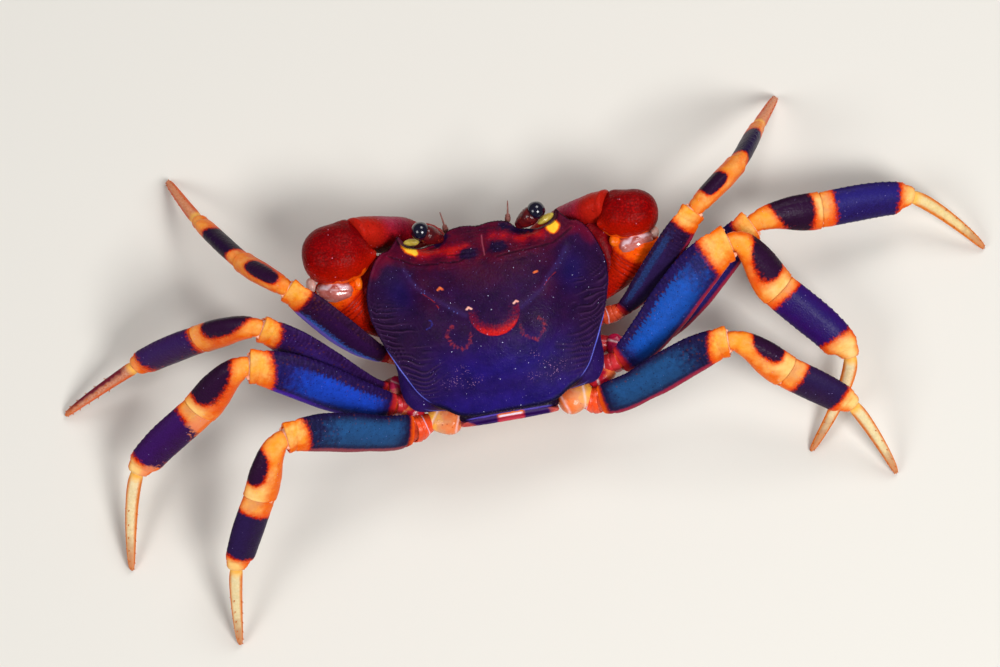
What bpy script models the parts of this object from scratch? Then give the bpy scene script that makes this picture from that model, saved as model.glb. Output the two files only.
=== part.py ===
"""Sri Lanka tree-climbing crab, a life-size still model that stands on its eight walking legs.

The crab is designed about the middle of its shell: +X to its left, -Y ahead of its face, +Z up,
with the floor at z = 0.  Sizes are in millimetres, and new_node writes them in metres.  At the
end the whole model is moved so that the origin lies under the middle of its span on the floor.
"""
import math

import bmesh
import bpy
from mathutils import Matrix, Vector

METRE = 0.001
GAP = 0.3
HALF_GAP = GAP / 2
UP = Vector((0, 0, 1))
SIDES = ("left", "right")
SHARP_ANGLE = 40

# Shell: heights of its levels and the left half of its margin, from the brow round to the rear.
DOME_TOP_Z = 18.7
BROW_Z = 15.0
ORBIT_TOOTH_Z = 14.7
SIDE_RIM_Z = 13.2
REAR_RIM_Z = 12.8
DOME_POWER = 2.25
SHELL_CENTRE = Vector((0, -1.5, 0))
HALF_MARGIN = (
    (0.0, -12.45), (1.3, -12.65), (2.6, -12.65), (3.8, -12.3), (4.7, -11.5), (5.8, -11.0),
    (7.2, -10.95), (8.5, -11.4), (9.3, -12.1), (9.9, -12.75), (10.6, -12.1), (11.4, -11.3),
    (12.5, -11.0), (13.6, -9.8), (14.5, -7.9), (15.0, -5.8), (14.9, -3.7), (14.3, -1.5),
    (13.5, 0.8), (12.6, 2.8), (11.6, 4.8), (10.6, 6.6), (9.3, 8.0), (7.8, 9.0), (6.3, 10.0),
    (4.6, 10.45), (2.4, 10.5), (0.0, 10.5),
)
SHELL_RINGS = (0.2, 0.4, 0.57, 0.72, 0.84, 0.93, 0.98, 1.0)
ORBIT_CENTRE = (7.3, -12.6, 15.7)
ORBIT_RADII = (2.8, 1.9, 2.3)
ORBIT_FACETS = (16, 10)

# Round swellings and hollows of the shell, on both sides: middle, radii and height.
SHELL_SWELLINGS = {
    "gill chamber": ((8.6, -1.5), (5.0, 6.5), 0.35),
    "heart groove": ((4.6, 1.6), (1.6, 2.6), -0.3),
    "neck groove": ((7.8, -5.4), (3.4, 1.3), -0.2),
    "brow lobe": ((1.9, -9.6), (1.7, 1.0), 0.25),
    "brow groove": ((0.0, -9.4), (0.7, 2.2), -0.25),
}
EDGE_SHARE = 0.7
RELIEF_POWER = 6
MARGIN_SPACING = 1.5

# Where the margin and the walls change between side, claw arm, face and rear: limits of y.
REAR_FALL = (2.0, 9.0)
FRONT_RISE = (-7.0, -12.0)
BROW_SPAN = (6.0, 3.0)
FACE_ZONE = (-10.2, -11.8)
ARM_ZONE = (-1.5, -4.5)
FLANK_ZONE = (1.0, 6.5)
REAR_ZONE = (7.0, 9.5)

# Walls below the margin: share of the margin's reach and height, at the side, over the claw arm,
# at the face, at the bulging flank and at the rear.
SHELL_WALL = (
    {"side": (1.0, 12.3), "arm": (0.985, 12.7), "face": (0.975, 14.0),
     "flank": (1.08, 12.3), "rear": (1.0, 12.0)},
    {"side": (0.97, 11.4), "arm": (0.93, 12.1), "face": (0.88, 12.6),
     "flank": (1.14, 11.4), "rear": (0.99, 11.2)},
    {"side": (0.90, 10.5), "arm": (0.84, 11.4), "face": (0.80, 8.2),
     "flank": (1.05, 10.8), "rear": (0.95, 10.5)},
)
CAP_CENTRE_Z = 10.0
THORAX_WALL = (
    {"side": (0.86, 10.0), "arm": (0.79, 10.8), "face": (0.78, 7.6),
     "flank": (0.87, 10.1), "rear": (0.93, 10.0)},
    {"side": (0.82, 8.6), "arm": (0.74, 8.8), "face": (0.76, 6.8),
     "flank": (0.83, 8.6), "rear": (0.91, 8.0)},
    {"side": (0.74, 6.4), "arm": (0.68, 6.4), "face": (0.68, 5.6),
     "flank": (0.74, 6.4), "rear": (0.80, 6.2)},
    {"side": (0.58, 5.0), "arm": (0.54, 5.0), "face": (0.52, 4.9),
     "flank": (0.58, 5.0), "rear": (0.56, 4.95)},
    {"side": (0.30, 4.6), "arm": (0.28, 4.6), "face": (0.28, 4.6),
     "flank": (0.30, 4.6), "rear": (0.30, 4.6)},
)
THORAX_TOP_Z = 9.5
BREAST_Z = 4.5
SOCKET_REACH = 5.0
SOCKET_SIDES = 12
ARM_SOCKET_FLARE = 0.35

# Walking legs, front to rear: root on the body, then lengths and widths of the leg's parts.
LEG_PARTS = ("merus", "carpus", "propodus", "dactyl")
LEG_ROOTS = {1: (10.7, 0.2, 7.3), 2: (10.1, 3.1, 7.3), 3: (8.7, 5.9, 7.3), 4: (6.5, 8.4, 7.4)}
LEG_LENGTHS = {1: (16.5, 8.4, 10.0, 10.8), 2: (20.0, 9.2, 12.4, 12.6),
               3: (20.0, 9.4, 12.6, 13.4), 4: (18.0, 8.6, 10.4, 12.0)}
LEG_WIDTHS = {1: (4.7, 3.6, 3.3, 1.9), 2: (5.6, 4.2, 3.9, 2.0),
              3: (6.2, 4.3, 4.0, 2.0), 4: (5.7, 4.0, 3.7, 1.9)}
BASE_SIZE = (3.5, 2.6)

# Stance of each leg: hip place; swing ahead of the side and lift of merus, carpus and propodus, in
# degrees; swing of the dactyl, which reaches down to the floor; and lean, how far the upper edge
# of the merus tips forward from upright.
LEG_STANCE = {
    ("left", 1): ((13.5, 0.4, 7.7), ((39, 32), (46, -31), (56, -29)), 65, 34),
    ("left", 2): ((14.6, 4.4, 7.7), ((30, 38), (7, -32), (-3, -44)), -19, 26),
    ("left", 3): ((14.0, 7.0, 9.4), ((21, 28), (-24, -33), (-31, -33)), -74, 43),
    ("left", 4): ((12.2, 10.4, 9.2), ((1, 31), (-52, -30), (-60, -35)), -80, 38),
    ("right", 1): ((-16.0, -0.1, 8.7), ((41, 32), (39, -13), (53, -44)), 53, 38),
    ("right", 2): ((-18.0, 4.0, 7.0), ((36, 9), (7, -9), (-1, -13)), -39, 56),
    ("right", 3): ((-14.7, 6.3, 9.3), ((36, 15), (-44, -29), (-53, -18)), -122, 60),
    ("right", 4): ((-11.5, 10.6, 8.4), ((12, 21), (-32, -21), (-34, -27)), -61, 43),
}

# Profiles along a length: place along it, then shares of its width and of its thickness.
PROFILES = {
    "base": ((0, 0.9, 0.9), (0.3, 1.0, 1.0), (0.55, 0.9, 0.86), (0.75, 0.88, 0.76), (1, 0.8, 0.66)),
    "merus": ((0, 0.46, 0.72), (0.14, 0.64, 0.85), (0.3, 0.88, 1.0), (0.5, 1.0, 1.0),
              (0.72, 0.97, 1.0), (0.88, 0.84, 1.04), (1, 0.72, 1.0)),
    "carpus": ((0, 0.6, 0.75), (0.15, 0.74, 0.9), (0.4, 0.92, 1.0), (0.68, 1.06, 1.06),
               (0.88, 1.0, 1.0), (1, 0.86, 0.9)),
    "propodus": ((0, 0.82, 0.9), (0.14, 0.98, 1.0), (0.4, 1.0, 1.0), (0.7, 0.88, 0.92),
                 (0.9, 0.74, 0.84), (1, 0.62, 0.76)),
    "dactyl": ((0, 0.86, 0.9), (0.1, 1.0, 1.0), (0.35, 0.82, 0.86), (0.6, 0.62, 0.7),
               (0.8, 0.45, 0.56), (0.93, 0.33, 0.42), (1, 0.26, 0.32)),
}
THICKNESS_SHARES = {"merus": 0.38, "carpus": 0.62, "propodus": 0.56, "dactyl": 0.85}
CRESTS = {"base": 0.0, "merus": 0.3, "carpus": 0.1, "propodus": 0.15, "dactyl": 0.0}
KNEE_SHARE = 0.68
SWEEP = 0.75
FOOT_SWEEP = 0.3
LEG_SIDES = 10

# Claws: where the arm leaves the body, its elbow, the wrist block's middle and radii, the palm's
# joint, the claw's scale, and its swing and fall in degrees.
CLAWS = {
    "left": {"root": (10.6, -2.8, 7.2), "elbow": (18.4, -9.3, 11.8), "wrist": (17.8, -12.2, 13.6),
             "radii": (4.2, 3.75, 3.6), "palm": (14.8, -14.35, 13.4), "scale": 0.94,
             "swing": 0.0, "fall": 48.0},
    "right": {"root": (-10.6, -2.8, 7.2), "elbow": (-19.2, -8.6, 11.8), "wrist": (-18.8, -11.0, 13.5),
              "radii": (3.7, 2.95, 3.4), "palm": (-16.0, -12.6, 13.3), "scale": 0.88,
              "swing": -3.0, "fall": 50.0},
}
ARM_FACING = Vector((1.0, 0.15, 0.1))
ELBOW_FACING = Vector((0.15, -0.80, 0.58))
ARM_CREST = 0.1
CLAW_SIDES = 12
BLOCK_POWER = 0.86
BLOCK_FACETS = (20, 12)
WRIST_TOOTH = {"place": (-4.0, 1.2, 0.6), "pull": (-0.6, 0.2, 0.1), "radius": 1.1}
PALM_TURN = 0.25
# Along the arm: place, height and thickness.
ARM_PROFILE = ((0, 3.0, 2.6), (0.15, 3.0, 2.7), (0.35, 3.5, 3.5), (0.6, 4.5, 4.9),
               (0.85, 5.3, 6.2), (1, 5.0, 6.0))
# Along the palm with its fixed finger, and along the movable finger: distance, upper edge, lower
# edge and thickness.
PALM_PROFILE = ((0, 2.2, -2.1, 3.5), (1.4, 2.9, -2.8, 4.1), (3.8, 3.6, -3.4, 4.6),
                (6.6, 3.9, -3.6, 4.6), (8.8, 3.5, -3.5, 4.0), (9.4, 3.2, -3.45, 3.8),
                (9.75, -0.4, -3.4, 3.2), (11.2, -0.9, -3.15, 2.7), (12.4, -0.75, -2.8, 2.4),
                (13.6, -1.05, -2.4, 2.0), (14.8, -0.7, -1.9, 1.6), (15.9, -0.75, -1.4, 1.1),
                (16.8, -0.5, -0.9, 0.6))
FINGER_PROFILE = ((9.75, 3.1, 0.2, 2.9), (10.8, 3.35, 0.1, 2.8), (12.0, 3.1, 0.35, 2.5),
                  (13.2, 2.7, 0.2, 2.1), (14.5, 2.0, 0.35, 1.7), (15.6, 1.25, 0.15, 1.2),
                  (16.7, 0.35, -0.05, 0.6))

# Eyes, feelers and mouth covers of the left side; the profiles give a share of the line and of
# the width.
EYE_ROOT = (4.9, -11.72, 15.25)
EYE_TOP = (6.85, -12.5, 16.7)
EYE_PROFILE = ((0, 0.55), (0.36, 0.86), (0.72, 1.0), (0.89, 0.96), (1, 0.84))
CORNEA_CENTRE = (7.15, -12.72, 16.95)
STALK_WIDTH = 2.3
CORNEA_RADIUS = 1.1
CORNEA_FACETS = (14, 9)
EYE_SIDES = 12
FEELER_ROOT = (3.9, -12.75, 14.2)
FEELER_TIP = (4.3, -15.3, 15.6)
FEELER_WIDTH = 0.6
FEELER_PROFILE = ((0, 1.6), (0.25, 1.4), (0.34, 0.9), (0.7, 0.8), (1, 0.5))
FEELER_SIDES = 8
MOUTH_TOP = (1.75, -12.3, 11.8)
MOUTH_BOTTOM = (1.75, -10.6, 5.8)
MOUTH_SIZE = (3.1, 1.0)
MOUTH_PROFILE = ((0, 0.8), (0.12, 0.98), (0.5, 1.0), (0.85, 0.9), (1, 0.6))
MOUTH_SIDES = 10

# Pleon, folded from the rear to under the body: y and z of its line, half width and thickness.
PLEON_LINE = ((11.1, 11.4, 5.3, 0.7), (11.2, 10.4, 5.5, 1.2), (10.95, 9.0, 5.0, 1.3),
              (10.1, 7.0, 4.6, 1.2), (8.2, 5.1, 4.4, 1.0), (5.4, 4.0, 3.9, 0.9),
              (2.0, 3.65, 3.1, 0.9), (-1.6, 3.6, 2.2, 0.9), (-4.4, 3.65, 1.2, 0.8))
PLEON_SIDES = 8

COLOURS = {
    "carapace": (0.045, 0.012, 0.11), "thorax": (0.62, 0.36, 0.22), "pleon": (0.12, 0.03, 0.2),
    "mouth": (0.3, 0.05, 0.06), "cornea": (0.004, 0.004, 0.006), "stalk": (0.16, 0.015, 0.02),
    "feeler": (0.45, 0.12, 0.1), "claw": (0.5, 0.015, 0.008), "base": (0.75, 0.16, 0.06),
    "merus": (0.02, 0.05, 0.3), "carpus": (0.8, 0.24, 0.03), "propodus": (0.09, 0.015, 0.13),
    "dactyl": (0.85, 0.5, 0.16),
}
ROUGHNESS = {"cornea": 0.1}
SHELL_ROUGHNESS = 0.38


def clear_scene():
    for old in list(bpy.data.objects):
        bpy.data.objects.remove(old, do_unlink=True)


def new_collection(name):
    made = bpy.data.collections.new(name)
    bpy.context.scene.collection.children.link(made)
    return made


def material(name):
    made = bpy.data.materials.new(name)
    made.use_nodes = True
    surface = made.node_tree.nodes["Principled BSDF"]
    surface.inputs["Base Color"].default_value = (*COLOURS[name], 1)
    surface.inputs["Roughness"].default_value = ROUGHNESS.get(name, SHELL_ROUGHNESS)
    return made


def new_node(name, bm, surface, group):
    """Turn a bmesh in millimetres into an object in metres."""
    bmesh.ops.triangulate(bm, faces=bm.faces)
    bmesh.ops.recalc_face_normals(bm, faces=bm.faces)
    bmesh.ops.scale(bm, vec=(METRE, METRE, METRE), verts=bm.verts)
    mesh = bpy.data.meshes.new(name)
    bm.to_mesh(mesh)
    bm.free()
    made = bpy.data.objects.new(name, mesh)
    group.objects.link(made)
    mesh.materials.append(surface)
    mesh.shade_smooth()
    mesh.set_sharp_from_angle(angle=math.radians(SHARP_ANGLE))
    return made


def blend(low, high, value):
    """Smooth step from 0 at low to 1 at high."""
    share = min(1.0, max(0.0, (value - low) / (high - low)))
    return share * share * (3 - 2 * share)


def loft(rings, tip_points=(None, None)):
    """Skin rings of points; an end with a tip point closes to it, any other end is flat."""
    bm = bmesh.new()
    rows = [[bm.verts.new(p) for p in ring] for ring in rings]
    count = len(rows[0])
    for row, following in zip(rows, rows[1:]):
        for k in range(count):
            near, far = row[k], row[(k + 1) % count]
            bm.faces.new((near, far, following[(k + 1) % count], following[k]))
    for row, tip in zip((rows[0], rows[-1]), tip_points):
        if tip is None:
            bm.faces.new(row)
            continue
        peak = bm.verts.new(tip)
        for k in range(count):
            bm.faces.new((row[k], row[(k + 1) % count], peak))
    return bm


def oval(centre, wide, thick, count, crest=0.0):
    """A ring of points about centre, thinner towards the wide side by the crest."""
    ring = []
    for k in range(count):
        turn = math.tau * k / count
        ring.append(centre + wide * math.cos(turn) + thick * math.sin(turn) * (1 - crest * math.cos(turn)))
    return ring


def limb_rings(start, end, facings, outward, profile, size, crest, count, arrival=SWEEP):
    """Rings of one limb length, square to a centre line that leaves and arrives along the facings.

    Each facing is the direction in which a joint's plane looks.  The profile gives, for each place
    along the line, shares of the size: the width towards outward, and the thickness across it.
    """
    reach = (end - start).length
    leaving = facings[0] * reach * SWEEP
    arriving = facings[1] * reach * arrival
    rings = []
    rising = outward
    for place, wide, thick in profile:
        centre, ahead = curve_point(start, end, leaving, arriving, place)
        rising = (rising - ahead * rising.dot(ahead)).normalized()
        flat = ahead.cross(rising)
        rings.append(oval(centre, rising * size[0] * wide / 2, flat * size[1] * thick / 2, count, crest))
    return rings


def curve_point(start, end, leaving, arriving, place):
    """Point and direction of a curve with given ends and end directions."""
    t = place
    point = (start * (2 * t ** 3 - 3 * t * t + 1) + leaving * (t ** 3 - 2 * t * t + t)
             + end * (3 * t * t - 2 * t ** 3) + arriving * (t ** 3 - t * t))
    ahead = (start * (6 * t * t - 6 * t) + leaving * (3 * t * t - 4 * t + 1)
             + end * (6 * t - 6 * t * t) + arriving * (3 * t * t - 2 * t))
    return point, ahead.normalized()


def turned(side, swing, lift):
    """Direction of a limb length of that side from its swing ahead and its lift."""
    level = math.cos(math.radians(lift))
    across = level * math.cos(math.radians(swing))
    ahead = level * math.sin(math.radians(swing))
    return Vector((across if side == "left" else -across, -ahead, math.sin(math.radians(lift))))


def mirrored(point, side):
    return Vector((point[0] if side == "left" else -point[0], point[1], point[2]))


def leg_joints(side, number):
    """Places of a leg's joints from its hip to its tip on the floor."""
    hip, turns, last_swing, _ = LEG_STANCE[side, number]
    lengths = LEG_LENGTHS[number]
    joints = [Vector(hip)]
    for length, (swing, lift) in zip(lengths, turns):
        joints.append(joints[-1] + turned(side, swing, lift) * length)
    fall = -math.degrees(math.asin(joints[-1].z / lengths[-1]))
    tip = joints[-1] + turned(side, last_swing, fall) * lengths[-1]
    tip.z = 0.0
    joints.append(tip)
    return joints


def joint_facing(before, joint, after, share=0.5):
    """Direction in which a joint's plane looks, by share that of the length before it."""
    return ((joint - before).normalized() * share + (after - joint).normalized() * (1 - share)).normalized()


def leaning(side, along, lean):
    """Direction square to a limb length, upright but tipped ahead by lean degrees."""
    along = along.normalized()
    ahead = UP.cross(along).normalized() * (-1 if side == "left" else 1)
    tipped = UP * math.cos(math.radians(lean)) + ahead * math.sin(math.radians(lean))
    return (tipped - along * tipped.dot(along)).normalized()


def build_leg(side, number, surfaces, group):
    root = mirrored(LEG_ROOTS[number], side)
    hip, knee, wrist, ankle, tip = leg_joints(side, number)
    facings = [
        (hip - root).normalized(),
        joint_facing(root, hip, knee),
        joint_facing(hip, knee, wrist, KNEE_SHARE),
        joint_facing(knee, wrist, ankle),
        joint_facing(wrist, ankle, tip),
        -UP,
    ]
    lean = LEG_STANCE[side, number][3]
    crown = knee - (hip + tip) / 2
    outward = {"base": UP, "merus": leaning(side, knee - hip, lean)}
    sizes = {"base": BASE_SIZE}
    for name, width in zip(LEG_PARTS, LEG_WIDTHS[number]):
        sizes[name] = (width, width * THICKNESS_SHARES[name])
    ends = [root + facings[0] * HALF_GAP, hip, knee, wrist, ankle, tip]
    for k, name in enumerate(("base", *LEG_PARTS)):
        foot = name == "dactyl"
        start = ends[k] + facings[k] * HALF_GAP
        end = ends[k + 1] if foot else ends[k + 1] - facings[k + 1] * HALF_GAP
        rings = limb_rings(start, end, facings[k:k + 2], outward.get(name, crown), PROFILES[name],
                           sizes[name], CRESTS[name], LEG_SIDES, FOOT_SWEEP if foot else SWEEP)
        new_node(f"leg_{side}_{number}_{name}", loft(rings), surfaces[name], group)


def margin_height(x, y):
    """Height of the shell's margin above the floor."""
    height = SIDE_RIM_Z
    height += (REAR_RIM_Z - SIDE_RIM_Z) * blend(*REAR_FALL, y)
    height += (ORBIT_TOOTH_Z - SIDE_RIM_Z) * blend(*FRONT_RISE, y)
    return height + (BROW_Z - ORBIT_TOOTH_Z) * blend(*BROW_SPAN, abs(x)) * blend(*FRONT_RISE, y)


def swelling(x, y, middle, radii, height):
    """A round swelling or hollow of the shell about a point."""
    reach = ((x - middle[0]) / radii[0]) ** 2 + ((y - middle[1]) / radii[1]) ** 2
    return height * math.exp(-2 * reach)


def shell_relief(x, y):
    """Height of the gill swellings, grooves and brow lobes at a point of the shell."""
    return sum(swelling(abs(x), y, *shape) for shape in SHELL_SWELLINGS.values())


def smooth_half_margin():
    """The half margin with points added where it runs long, on a smooth curve."""
    points = [Vector((x, y, 0)) for x, y in HALF_MARGIN]
    mirrored_start = Vector((-points[1].x, points[1].y, 0))
    mirrored_end = Vector((-points[-2].x, points[-2].y, 0))
    padded = [mirrored_start, *points, mirrored_end]
    smooth = []
    for k in range(1, len(padded) - 2):
        before, here, following, after = padded[k - 1:k + 3]
        steps = max(1, round((following - here).length / MARGIN_SPACING))
        for step in range(steps):
            t = step / steps
            bend = (2 * here + (following - before) * t
                    + (2 * before - 5 * here + 4 * following - after) * t * t
                    + (3 * here - before - 3 * following + after) * t ** 3)
            smooth.append(bend / 2)
    smooth.append(points[-1])
    return smooth


def shell_margin():
    half = smooth_half_margin()
    return half + [Vector((-p.x, p.y, 0)) for p in reversed(half[1:-1])]


def evened(margin, reach=4, rounds=2):
    """The margin without its notches and teeth, each point the mean of its neighbours."""
    for _ in range(rounds):
        count = len(margin)
        margin = [sum((margin[(k + step) % count] for step in range(-reach, reach + 1)), Vector())
                  / (2 * reach + 1) for k in range(count)]
    return margin


def shell_point(rim, even, share):
    """A point of the dome at a share of the way from the middle to the margin.

    Only near the margin does the dome follow its notches and teeth.
    """
    rim = even.lerp(rim, blend(EDGE_SHARE, 1.0, share))
    flat = SHELL_CENTRE + (rim - SHELL_CENTRE) * share
    edge = margin_height(rim.x, rim.y)
    height = edge + (DOME_TOP_Z - edge) * (1 - share ** DOME_POWER)
    height += shell_relief(flat.x, flat.y) * (1 - share ** RELIEF_POWER)
    return Vector((flat.x, flat.y, height))


def wall_point(rim, level):
    """A point of the wall below the margin, blended between its zones."""
    face = blend(*FACE_ZONE, rim.y)
    arm = blend(*ARM_ZONE, rim.y) - face
    rear = blend(*REAR_ZONE, rim.y)
    flank = blend(*FLANK_ZONE, rim.y) - rear
    weights = {"arm": arm, "face": face, "flank": flank, "rear": rear}
    weights["side"] = 1 - sum(weights.values())
    share = sum(weight * level[name][0] for name, weight in weights.items())
    height = sum(weight * level[name][1] for name, weight in weights.items())
    flat = SHELL_CENTRE + (rim - SHELL_CENTRE) * share
    return Vector((flat.x, flat.y, height))


def block_of_facets(facets, radii, centre):
    """A round body of facets, in millimetres."""
    bm = bmesh.new()
    bmesh.ops.create_uvsphere(bm, u_segments=facets[0], v_segments=facets[1], radius=1)
    bmesh.ops.scale(bm, vec=radii, verts=bm.verts)
    bmesh.ops.translate(bm, vec=centre, verts=bm.verts)
    return bm


def cutter(name, bm, group):
    bmesh.ops.recalc_face_normals(bm, faces=bm.faces)
    bmesh.ops.scale(bm, vec=(METRE, METRE, METRE), verts=bm.verts)
    mesh = bpy.data.meshes.new(name)
    bm.to_mesh(mesh)
    bm.free()
    made = bpy.data.objects.new(name, mesh)
    group.objects.link(made)
    made.hide_render = True
    made.display_type = "WIRE"
    return made


def cut(target, tools):
    """Cut each tool out of the target and write the result in its mesh."""
    for tool in tools:
        change = target.modifiers.new(tool.name, "BOOLEAN")
        change.operation = "DIFFERENCE"
        change.object = tool
    keep_evaluated(target)
    keep_largest_body(target)


def keep_evaluated(target):
    ready = target.evaluated_get(bpy.context.evaluated_depsgraph_get())
    mesh = bpy.data.meshes.new_from_object(ready)
    target.modifiers.clear()
    target.data = mesh


def keep_largest_body(target):
    bm = bmesh.new()
    bm.from_mesh(target.data)
    bodies = []
    waiting = set(bm.verts)
    while waiting:
        found = {waiting.pop()}
        edge = list(found)
        while edge:
            for link in edge.pop().link_edges:
                for vert in link.verts:
                    if vert in waiting:
                        waiting.remove(vert)
                        found.add(vert)
                        edge.append(vert)
        bodies.append(found)
    largest = max(bodies, key=len)
    bmesh.ops.delete(bm, geom=[v for v in bm.verts if v not in largest], context="VERTS")
    bmesh.ops.triangulate(bm, faces=bm.faces)
    bm.to_mesh(target.data)
    bm.free()


def build_shell(surfaces, group, cutters):
    margin = shell_margin()
    even = evened(margin)
    domed = [[shell_point(rim, calm, share) for rim, calm in zip(margin, even)]
             for share in SHELL_RINGS]
    walled = [[wall_point(rim, level) for rim in margin] for level in SHELL_WALL]
    middle = SHELL_CENTRE + UP * (DOME_TOP_Z + shell_relief(SHELL_CENTRE.x, SHELL_CENTRE.y))
    floor = SHELL_CENTRE + UP * CAP_CENTRE_Z
    shell = new_node("carapace", loft(domed + walled, (middle, floor)), surfaces["carapace"], group)
    orbits = []
    for side in SIDES:
        hollow = block_of_facets(ORBIT_FACETS, ORBIT_RADII, mirrored(ORBIT_CENTRE, side))
        orbits.append(cutter(f"orbit_{side}", hollow, cutters))
    cut(shell, orbits)


def build_thorax(surfaces, group, cutters):
    margin = shell_margin()[::2]
    walled = [[wall_point(rim, level) for rim in margin] for level in THORAX_WALL]
    roof = SHELL_CENTRE + UP * THORAX_TOP_Z
    breast = SHELL_CENTRE + UP * BREAST_Z
    thorax = new_node("thorax", loft(walled, (roof, breast)), surfaces["thorax"], group)
    sockets = []
    for side in SIDES:
        for number in LEG_ROOTS:
            root = mirrored(LEG_ROOTS[number], side)
            hip = leg_joints(side, number)[0]
            hollow = socket(root, hip - root, BASE_SIZE, 0)
            sockets.append(cutter(f"socket_{side}_{number}", hollow, cutters))
        facing = mirrored(ARM_FACING, side)
        hollow = socket(Vector(CLAWS[side]["root"]), facing, ARM_PROFILE[0][1:], ARM_SOCKET_FLARE)
        sockets.append(cutter(f"socket_{side}_claw", hollow, cutters))
    cut(thorax, sockets)


def socket(root, direction, size, flare):
    """A hollow whose flat floor faces the root of a limb and which widens outward by the flare."""
    along, wide, thick = cross_axes(direction)
    rings = []
    for step, spread in ((0, 1), (SOCKET_REACH, 1 + flare)):
        high, deep = (spread * half + GAP for half in (size[0] / 2, size[1] / 2))
        rings.append(oval(root + along * step, wide * high, thick * deep, SOCKET_SIDES))
    return loft(rings)


def cross_axes(direction):
    """Direction of a line, its steepest square direction and the level one."""
    along = direction.normalized()
    wide = (UP - along * UP.dot(along)).normalized()
    return along, wide, along.cross(wide)


def build_pleon(surfaces, group):
    rings = []
    stations = [Vector((0, y, z)) for y, z, _, _ in PLEON_LINE]
    across = Vector((1, 0, 0))
    for k, (_, _, half_width, thickness) in enumerate(PLEON_LINE):
        ahead = stations[min(k + 1, len(stations) - 1)] - stations[max(k - 1, 0)]
        through = ahead.normalized().cross(across)
        rings.append(oval(stations[k], across * half_width, through * thickness / 2, PLEON_SIDES))
    new_node("pleon", loft(rings), surfaces["pleon"], group)


def build_mouth_cover(side, surfaces, group):
    top, bottom = mirrored(MOUTH_TOP, side), mirrored(MOUTH_BOTTOM, side)
    across = Vector((1, 0, 0))
    through = (bottom - top).normalized().cross(across)
    width, thickness = MOUTH_SIZE
    rings = [oval(top.lerp(bottom, place), across * width * share / 2, through * thickness / 2, MOUTH_SIDES)
             for place, share in MOUTH_PROFILE]
    new_node(f"mouth_cover_{side}", loft(rings), surfaces["mouth"], group)


def build_eye(side, surfaces, group):
    root, top, ball = (mirrored(point, side) for point in (EYE_ROOT, EYE_TOP, CORNEA_CENTRE))
    along, wide, thick = cross_axes(top - root)
    rings = []
    for place, share in EYE_PROFILE:
        half = STALK_WIDTH * share / 2
        rings.append(oval(root.lerp(top, place), wide * half, thick * half, EYE_SIDES))
    new_node(f"eyestalk_{side}", loft(rings), surfaces["stalk"], group)
    cornea = block_of_facets(CORNEA_FACETS, (CORNEA_RADIUS,) * 3, ball)
    flatten_joint(cornea, top + along * GAP, -along)
    new_node(f"cornea_{side}", cornea, surfaces["cornea"], group)


def build_feeler(side, surfaces, group):
    root, tip = mirrored(FEELER_ROOT, side), mirrored(FEELER_TIP, side)
    _, wide, thick = cross_axes(tip - root)
    rings = []
    for place, share in FEELER_PROFILE:
        half = FEELER_WIDTH * share / 2
        arched = root.lerp(tip, place) + UP * place * (1 - place)
        rings.append(oval(arched, wide * half, thick * half, FEELER_SIDES))
    new_node(f"antenna_{side}", loft(rings), surfaces["feeler"], group)


def flatten_joint(bm, place, facing):
    """Cut a body flat at a plane and close it, keeping the side that the facing points away from."""
    found = bm.verts[:] + bm.edges[:] + bm.faces[:]
    bmesh.ops.bisect_plane(bm, geom=found, plane_co=place, plane_no=facing, clear_outer=True)
    bmesh.ops.holes_fill(bm, edges=bm.edges)


def build_claw(side, surfaces, group):
    claw = CLAWS[side]
    root, elbow = Vector(claw["root"]), Vector(claw["elbow"])
    wrist, palm_joint = Vector(claw["wrist"]), Vector(claw["palm"])
    elbow_facing = mirrored(ELBOW_FACING, side).normalized()
    palm_along = turned(side, claw["swing"], -claw["fall"])
    palm_along.x = -palm_along.x
    wrist_facing = (palm_along + (palm_joint - wrist).normalized()).normalized()
    build_arm(side, root, elbow, elbow_facing, surfaces, group)
    build_wrist_block(side, claw, elbow, elbow_facing, palm_joint, wrist_facing, surfaces, group)
    build_chela(side, palm_joint, palm_along, wrist_facing, claw["scale"], surfaces, group)


def build_arm(side, root, elbow, elbow_facing, surfaces, group):
    outward = mirrored(ARM_FACING, side).normalized()
    begin = root + outward * GAP
    finish = elbow - elbow_facing * HALF_GAP
    rings = limb_rings(begin, finish, (outward, elbow_facing), UP, ARM_PROFILE, (1, 1), ARM_CREST, CLAW_SIDES)
    new_node(f"claw_{side}_merus", loft(rings), surfaces["claw"], group)


def build_wrist_block(side, claw, elbow, elbow_facing, palm_joint, wrist_facing, surfaces, group):
    """A rounded block, flat where the arm and the palm meet it, with a tooth on its inner corner."""
    bm = block_of_facets(BLOCK_FACETS, (1, 1, 1), (0, 0, 0))
    for vert in bm.verts:
        vert.co = Vector([math.copysign(abs(value) ** BLOCK_POWER, value) for value in vert.co])
    bmesh.ops.scale(bm, vec=claw["radii"], verts=bm.verts)
    bmesh.ops.translate(bm, vec=Vector(claw["wrist"]), verts=bm.verts)
    tooth = Vector(claw["wrist"]) + mirrored(WRIST_TOOTH["place"], side)
    pull = mirrored(WRIST_TOOTH["pull"], side)
    for vert in bm.verts:
        distance = (vert.co - tooth).length
        vert.co += pull * math.exp(-(distance / WRIST_TOOTH["radius"]) ** 2)
    flatten_joint(bm, elbow + elbow_facing * HALF_GAP, -elbow_facing)
    flatten_joint(bm, palm_joint - wrist_facing * HALF_GAP, wrist_facing)
    new_node(f"claw_{side}_carpus", bm, surfaces["claw"], group)


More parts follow.
